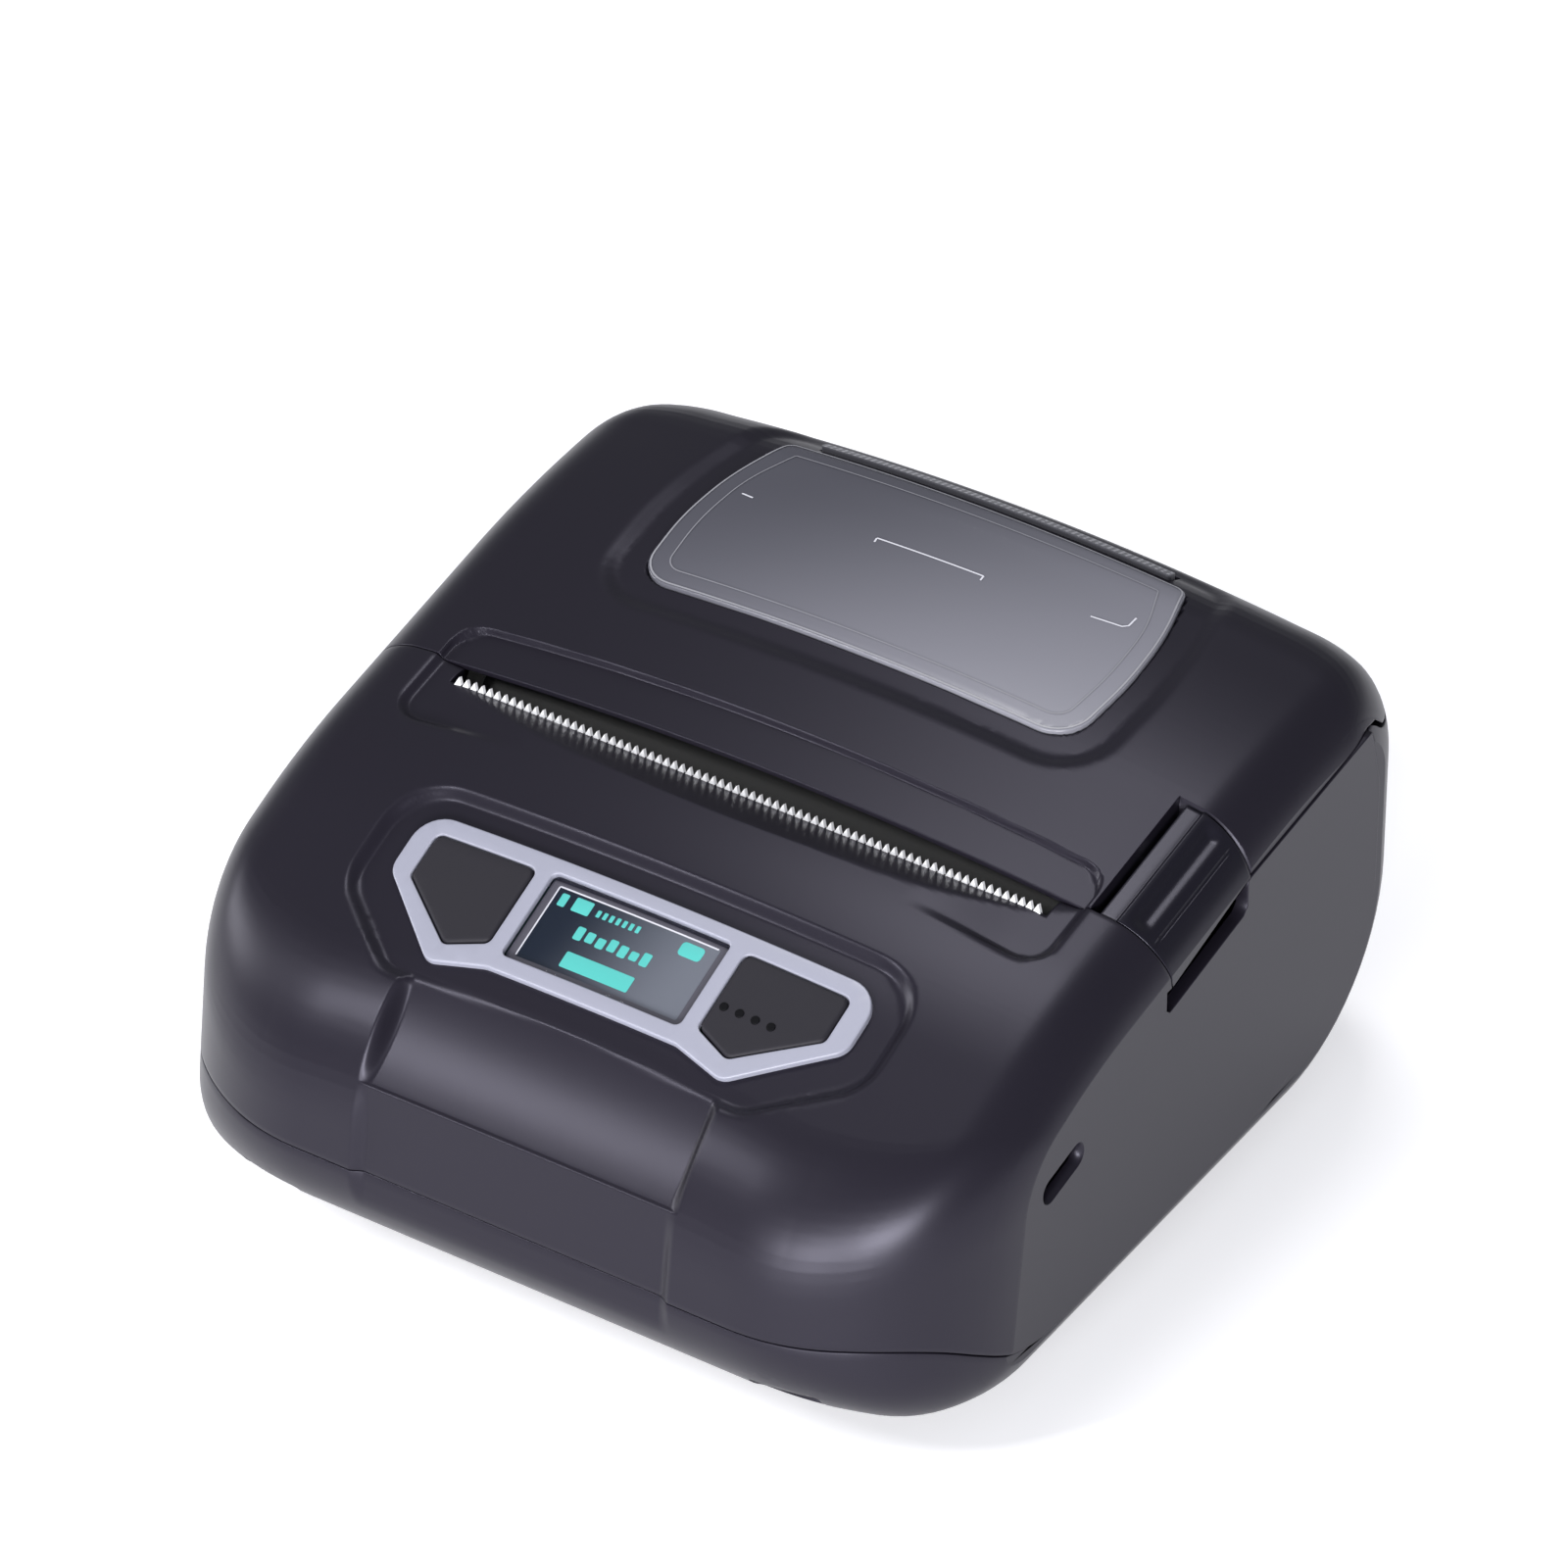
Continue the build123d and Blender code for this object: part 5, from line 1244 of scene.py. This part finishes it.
@dataclass
class CaseLooks(Looks):
    """The three case mouldings, with the openings of the pieces let into them."""

    band_edge: float = 29.5
    recess_edge: float = 61.0
    pocket_edge: float = 49.5
    exit_edge: float = 62.0
    window_edge: float = 43.0
    side_gap: float = 0.3
    base_spacing: float = 1.5
    bore_radius: float = 2.9
    bores: Tuple[Tuple[int, int], ...] = ((-56, -38), (56, -38), (-56, 27), (56, 27))
    slot_x: float = 49.5
    slot_z: float = 10.4
    socket: Tuple[float, float] = (-34.8, 41.4)
    socket_tilt: float = 13.0

    def build(self) -> None:
        """Builds the lid, the upper housing and the bottom shell."""
        rough = 0.8
        self.build_lid(rough)
        self.build_housing(rough)
        self.build_base()

    def build_lid(self, spacing: float) -> None:
        """Builds the lid with its openings for the window, the ribbed strip and the lever.

        Args:
            spacing: spacing of its mesh.
        """
        marks = [side * edge for edge in (self.exit_edge, self.window_edge) for side in (-1, 1)]
        lid = Shell("visual_lid", lambda x: ZONES["lid"], FORM.stations(marks, spacing, self.side_gap),
                    lid_displace, rim=1.0, border=0.12)
        lid.spread(spacing, [(0, 2.5), (0, 22.0), (0, 64.2), (0, -4.5)])
        cover = self.add(lid.build(), "lid", "case_plastic", "lid_cover")
        strip = np.array([(-34.2, 66.1), (34.2, 66.1), (34.2, 69.3), (-34.2, 69.3)])
        rear = LEVER.rear_y + 0.5
        notch = np.array([(62.8, -30.0), (90.0, -30.0), (90.0, rear), (62.8, rear)])
        for hole in (Hole(window_outline(-2.0), View.PLAN, (-48, 15, 70), (48, 68, 90), (0, 0, -1.5)),
                     Hole(strip, View.PLAN, (-40, 60, 74), (40, 72, 90), (0, 0, -1.2)),
                     Hole(notch, View.PLAN, (60, -30, 50), (80, 30, 95), (0, 0, -4.0))):
            hole.cut(cover)

    def build_housing(self, spacing: float) -> None:
        """Builds the housing with its openings for the tear bar, the socket, the keys and the display.

        Args:
            spacing: spacing of its mesh.
        """
        edges = (self.recess_edge, self.band_edge, self.pocket_edge)
        stations = FORM.stations([side * edge for edge in edges for side in (-1, 1)], spacing)
        upper = Shell("visual_upper", upper_zone_at, stations, front_displace)
        upper.spread(spacing, [(0, -19.5), (0, -31.7), (0, -60.5), (1, 39.5)])
        housing = self.add(upper.build(), "case", "case_plastic", "upper_housing")
        bar = np.array([(-57.2, -9.2), (57.2, -9.2), (57.2, 5.0), (-57.2, 5.0)])
        c, s = math.cos(math.radians(self.socket_tilt)), math.sin(math.radians(self.socket_tilt))
        socket = rounded_path([(self.socket[0] + p * c - q * s, self.socket[1] + p * s + q * c) for p, q in
                               ((-6.2, -2.5), (6.2, -2.5), (6.2, 2.5), (-6.2, 2.5))], [2.49] * 4, True, 5)
        holes = [Hole(bar, View.PLAN, (-58.5, -14, 62), (58.5, 3, 76), (0, 0, -2.0)),
                 Hole(socket, View.SIDE, (76.5, -80, 0), (77.5, 90, 90), (-2.2, 0, 0))]
        fall = math.cos(math.radians(FORM.panel_slope))
        for opening in ([(-u, v) for u, v in KEY_OPENING], KEY_OPENING, DISPLAY_CORNERS):
            path = np.array([(u, FORM.panel_y + v * fall) for u, v in opening])
            holes.append(Hole(path, View.PLAN, (-45, -60, 50), (45, -35, 80)))
        for hole in holes:
            hole.cut(housing)

    def build_base(self) -> None:
        """Builds the bottom shell with its battery door, screw bores and front slots."""
        stations = FORM.stations([-self.band_edge, self.band_edge], self.base_spacing, self.side_gap)
        lower = Shell("visual_lower", lambda x: ZONES["lower"], stations, lower_displace)
        lower.spread(self.base_spacing, [])
        base = self.add(lower.build(), "case", "case_plastic", "bottom_shell")
        door = block(-36.6, -45.7, 36.6, -2.3, 2.0)
        holes = [Hole(door, View.PLAN, (-38, -47, 0), (38, -1, 3), (0, 0, 1.3))]
        for x, y in self.bores:
            bore = circle(x, y, self.bore_radius, 24)
            holes.append(Hole(bore, View.PLAN, (x - 4, y - 4, 0), (x + 4, y + 4, 3), (0, 0, 3.0)))
        for side in (-1, 1):
            x, z = side * self.slot_x, self.slot_z
            slot = rounded_path([(x + u, z + v) for u, v in ((-6, -2.2), (6, -2.2), (6, 2.2), (-6, 2.2))],
                                [0.8] * 4, True, 4)
            ends = sorted((side * 43, side * 56))
            holes.append(Hole(slot, View.FRONT, (ends[0], -80, 3), (ends[1], -55, 16), (0, 3, 0)))
        for hole in holes:
            hole.cut(base)


@dataclass
class HingeLooks(Looks):
    """Hinge and lever knuckles of the dressed mouldings."""

    barrel: Tuple[float, float, float] = (9.4, 40.0, 3.6)
    ear: Tuple[float, float, float] = (40.3, 45.7, 2.8)
    knuckle_radius: float = 2.0
    chamfer: float = 0.25

    def bar(self, name: str, body: str, slot: str, rings: Array) -> None:
        """Closes rings of points to a solid bar with flat ends.

        Args:
            name: name of the piece.
            body: body that carries it.
            slot: its finish.
            rings: array of rings, points and coordinates.
        """
        rows = np.arange(rings[..., 0].size).reshape(rings.shape[:2])
        ahead = np.roll(rows, -1, axis=1)
        faces = quads(rows[:-1], ahead[:-1], ahead[1:], rows[1:])
        faces += [rows[0, ::-1].tolist(), rows[-1].tolist()]
        piece = make_piece(name, rings.reshape(-1, 3), faces)
        piece.data.polygons.foreach_set("use_smooth", [len(f) < 5 for f in faces])
        self.add(piece, body, slot)

    def rod(self, name: str, body: str, slot: str, ends: Sequence[Point], radius: float) -> None:
        """Round bar with chamfers: circles across the line between its ends.

        Args:
            name: name of the piece.
            body: body that carries it.
            slot: its finish.
            ends: both ends of its axis.
            radius: its radius.
        """
        start, end = np.array(ends)
        ahead = (end - start) / np.linalg.norm(end - start)
        across = np.cross(ahead, (0.0, 0.3, 1.0))
        across /= np.linalg.norm(across)
        up = np.cross(ahead, across)
        turn = np.linspace(0, 2 * math.pi, 40, endpoint=False)[:, None]
        cut = self.chamfer
        rings = [at + r * np.cos(turn) * across + r * np.sin(turn) * up for at, r in
                 ((start, radius - cut), (start + ahead * cut, radius), (end - ahead * cut, radius),
                  (end, radius - cut))]
        self.bar(name, body, slot, np.array(rings))

    def build(self) -> None:
        """Builds the lid's barrels, the rear ears with their stems, and the lever's knuckles."""
        y, z = HINGE
        rear = FORM.rear_y - 1.0
        stem = rounded_path([(y - 2.0, z + 2.4), (y - 5.2, z + 1.0), (y - 5.2, z - 14), (rear, z - 24),
                             (rear, z - 12), (y - 2.6, z - 9), (y - 2.6, z - 2)], [0.6] * 7, True, 3)
        stem = counter_clockwise(stem)
        for side, word in ((-1, "left"), (1, "right")):
            for kind, body, form in (("lid_barrel_", "lid", self.barrel), ("ear_", "case", self.ear)):
                low, high = sorted((side * form[0], side * form[1]))
                ends = ((low, y, z), (high, y, z))
                self.rod("visual_" + kind + word, body, "case_plastic", ends, form[2])
            plates = [np.column_stack([np.full(len(stem), x), stem]) for x in (low, high)]
            self.bar("visual_stem_" + word, "case", "case_plastic", np.array(plates))
        rise = math.tan(math.radians(FORM.lid_slope))
        for word, body, slot, low, high in (("barrel", "lever", "lever_plastic", 0.4, 11.0),
                                            ("ear_front", "lid", "case_plastic", -2.4, 0.1),
                                            ("ear_rear", "lid", "case_plastic", 14.3, 16.9)):
            ends = [(LEVER.axis_x, at, LEVER.axis_z + at * rise) for at in (low, high)]
            self.rod("visual_lever_" + word, body, slot, ends, self.knuckle_radius)


@dataclass
class LeverLooks(Looks):
    """The release lever with its grip groove."""

    side_round: float = 2.0
    rim: float = 1.8

    def build(self) -> None:
        """Builds the lever."""
        reach = FORM.half - self.side_round
        xs = refined(LEVER.inner_x, reach, 0.35, [LEVER.ridge_x, LEVER.valley_x + 3.1], 0.6, 0.1)
        side = FORM.half - self.side_round * (1 - np.sin(np.linspace(0, math.pi / 2, 9)[1:]))
        lever = Shell("visual_lever", lambda x: ZONES["lever"], np.concatenate([xs, side]), lever_displace,
                      self.rim, left_wall=False)
        self.add(lever.build(), "lever", "lever_plastic", "release_lever")


@dataclass
class PanelLooks(Looks):
    """Bezel, keys and lens on the sloping panel.

    A sheet is given by its top, bottom and edge, and by its spacing where that is not the usual one.
    """

    key_gap: float = 0.25
    bezel: Tuple[float, ...] = (0.5, 1.6, 0.3)
    key: Tuple[float, ...] = (0.38, 2.6, 0.6, 1.5)
    lens: Tuple[float, ...] = (0.8, 1.7, 0.15)

    def build(self) -> None:
        """Builds the pieces."""
        holes = [key_outline(-1, 0.0), key_outline(1, 0.0), DISPLAY]
        bezel = slab("visual_bezel", [BEZEL] + holes, self.skin.on_panel, *self.bezel)
        self.add(bezel, "case", "bezel_silver", "button_bezel")
        for side, body, node in ((-1, "power_button", "power_key"), (1, "feed_button", "feed_key")):
            cap = slab("visual_" + node, [key_outline(side, self.key_gap)], self.skin.on_panel, *self.key)
            self.add(cap, body, "key_rubber", node)
        lens = slab("visual_lens", [DISPLAY * LENS_SCALE], self.skin.on_panel, *self.lens)
        self.add(lens, "case", "lens_clear", "display_lens")


@dataclass
class WindowLooks(Looks):
    """The window let into the lid, with its fine lines, and the ribs of the strip behind it; the pane, its
    rim line and the rib lines carry painted light.
    """

    gap: float = 0.05
    pane: Tuple[float, ...] = (0.31, 1.85, 0.35)
    rib_pitch: float = 1.15
    rib_from: float = -33.2
    rib_to: float = 33.5

    def build(self) -> None:
        """Builds the pane and its lines."""
        outline = shrunk(counter_clockwise(WINDOW), self.gap)
        # the pane's finish carries painted light: it is lighter towards the front right
        pane = slab("visual_window", [outline], self.skin.on_top, *self.pane)
        self.add(pane, "lid", "window_plastic", "lid_window")
        rim, contour = window_outline(-0.5), window_outline(-3.6)
        marks = [[(-10.4, 45.9), (-10.6, 47.0)], [(-10.6, 47.0), (9.8, 47.4)], [(9.8, 47.4), (9.9, 46.2)],
                 [(-37.2, 47.2), (-34.9, 46.9)], [(29.7, 48.4), (35.2, 49.2), (36.0, 50.0), (36.0, 52.4)]]
        ribs = [[(x, 66.2), (x, 68.0)] for x in np.arange(self.rib_from, self.rib_to, self.rib_pitch)]
        # the rim line and the rib lines are painted highlights, and the glow of the marks is painted light
        for name, paths, width, slot, depth in (
                ("window_rim_highlight", [np.vstack([rim, rim[:1]])], 0.3, "rim_and_rib_highlight", 0.2),
                ("window_contour", [np.vstack([contour, contour[:1]])], 0.22, "edge_soft", 0.2),
                ("window_marks", marks, 0.32, "painted_glow_lines", 0.2),
                ("strip_rib_highlights", ribs, 0.5, "rim_and_rib_highlight", -0.04)):
            self.add(ribbon("visual_" + name, paths, width, self.skin.on_top, depth), "lid", slot)


@dataclass
class DisplayLooks(Looks):
    """Mask, picture and plain blocks of the display, and the dots of the feed key; the picture carries a
    painted reflection, and the screen's edge a painted highlight.
    """

    dot_x: float = 21.9
    dot_y: float = -2.0
    dot_pitch: float = 2.9
    dot_radius: float = 0.78
    mask: Tuple[float, ...] = (1.78, 1.95, 0.03, 3.0)
    picture: Tuple[float, ...] = (1.9, 2.0, 0.02, 3.0)
    icon: Tuple[float, ...] = (1.85, 1.88, 0.01, 20.0)
    dot: Tuple[float, ...] = (0.2, 0.6, 0.17, 20.0)

    def build(self) -> None:
        """Builds the pieces below the lens."""
        lay = self.skin.on_panel
        screen = block(-15.4, -6.8, 15.4, 7.5, 0.4)
        mask = slab("visual_mask", [DISPLAY * LENS_SCALE, screen], lay, *self.mask)
        self.add(mask, "case", "mask_grey")
        # the screen's finish is a painted reflection, lighter towards the right
        picture = slab("visual_screen", [screen * 1.01], lay, *self.picture)
        self.add(picture, "case", "screen_and_painted_reflection")
        # painted highlight: a glowing light line along the screen's left and top edges
        edge = [[(-15.3, -6.6), (-15.3, 7.4)], [(-15.3, 7.4), (15.0, 7.4)]]
        self.add(ribbon("visual_screen_edge_highlight", edge, 0.35, lay, 1.88), "case", "painted_glow_lines")
        shapes = [block(-14.1, 4.1, -12.7, 6.5), block(-11.4, 4.1, -8.1, 6.7),
                  block(9.0, 3.9, 13.2, 6.5, 0.7), block(-7.6, -5.7, 5.3, -2.7, 0.3)]
        shapes += [block(-6.9 + 1.25 * k, 4.6, -6.2 + 1.25 * k, 5.9, 0.15) for k in range(7)]
        shapes += [block(-8.3 + 2.1 * k, -0.4 + 0.25 * (k % 2), -6.8 + 2.1 * k, 2.1 - 0.3 * (k % 3), 0.3)
                   for k in range(7)]
        for index, shape in enumerate(shapes):
            icon = slab("visual_icon_%02d" % index, [shape], lay, *self.icon)
            self.add(icon, "case", "icon_teal")
        for k in range(4):
            ring = circle(self.dot_x + self.dot_pitch * k, self.dot_y, self.dot_radius, 16)
            dot = slab("visual_key_dot_%d" % k, [ring], lay, *self.dot)
            self.add(dot, "feed_button", "dot_black")


# Stage, light and camera

@dataclass(frozen=True)
class Lamp:
    """One area light, in metres and watts, turned to the printer's middle."""

    name: str
    place: Point
    size: Tuple[float, float]
    power: float


LAMPS = (
    Lamp("rear", (-0.2, 0.37, 1.25), (0.35, 0.35), 4.6),
    Lamp("front", (0.25, -1.5, 0.3), (0.5, 0.3), 14.0),
    Lamp("front_right", (0.8, -1.2, 0.4), (0.4, 0.3), 20.0),
    Lamp("front_left", (-0.6, -0.8, 0.9), (0.16, 0.3), 7.0),
    Lamp("left", (-1.3, -0.3, 0.4), (0.4, 0.4), 5.0),
)


@dataclass
class Stage:
    """Pale floor, soft studio light and the camera, in metres."""

    finishes: Finishes
    floor_half: float = 4.0
    middle: Point = (0.0, 0.0, 0.04)
    world_color: Point = (0.9, 0.92, 1.0)
    world_strength: float = 0.31
    lens: float = 222.75
    target: Point = (4.81 * MM, -4.73 * MM, 69.50 * MM)
    back: Point = (0.4350, -0.6698, 0.6018)
    distance: float = 1.5578

    def put(self, name: str, data: bpy.types.ID, place: Sequence[float], ahead: Vector) -> bpy.types.Object:
        """Places a lamp or a camera and turns it.

        Args:
            name: name of the object.
            data: its lamp or camera.
            place: its place.
            ahead: direction of its view.

        Returns:
            The object.
        """
        piece = bpy.data.objects.new(name, data)
        bpy.context.collection.objects.link(piece)
        piece.location = place
        piece.rotation_euler = ahead.to_track_quat("-Z", "Y").to_euler()
        return piece

    def build(self) -> None:
        """Builds the floor, the lamps, the world and the camera."""
        corners = np.array([(-1, -1, 0), (1, -1, 0), (1, 1, 0), (-1, 1, 0)]) * self.floor_half / MM
        floor = make_piece("floor", corners, [(0, 1, 2, 3)])
        self.finishes.dress(floor, "floor")
        for lamp in LAMPS:
            data = bpy.data.lights.new(lamp.name, "AREA")
            data.shape = "RECTANGLE"
            data.size, data.size_y = lamp.size
            data.energy = lamp.power
            self.put(lamp.name, data, lamp.place, Vector(self.middle) - Vector(lamp.place))
        scene = bpy.context.scene
        scene.world = bpy.data.worlds.new("studio")
        scene.world.use_nodes = True
        background = scene.world.node_tree.nodes["Background"]
        background.inputs["Color"].default_value = (*self.world_color, 1.0)
        background.inputs["Strength"].default_value = self.world_strength
        data = bpy.data.cameras.new("camera")
        data.lens, data.sensor_width = self.lens, 36.0
        data.clip_start, data.clip_end = 0.1, 20.0
        back = Vector(self.back).normalized()
        scene.camera = self.put("camera", data, Vector(self.target) + back * self.distance, -back)
        scene.view_settings.view_transform = "Standard"


def main() -> None:
    """Builds the whole scene."""
    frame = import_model()
    finishes = Finishes()
    slots = {part["node"]: part["material_slot"] for part in frame["record"]["subparts"]}
    for node, piece in frame["nodes"].items():
        finishes.dress(piece, slots[node])
    skin = TopSkin()
    for looks in (CaseLooks, HingeLooks, LeverLooks, PanelLooks, WindowLooks, DisplayLooks):
        looks(finishes, skin).build()
    Stage(finishes).build()


if __name__ == "__main__":
    main()
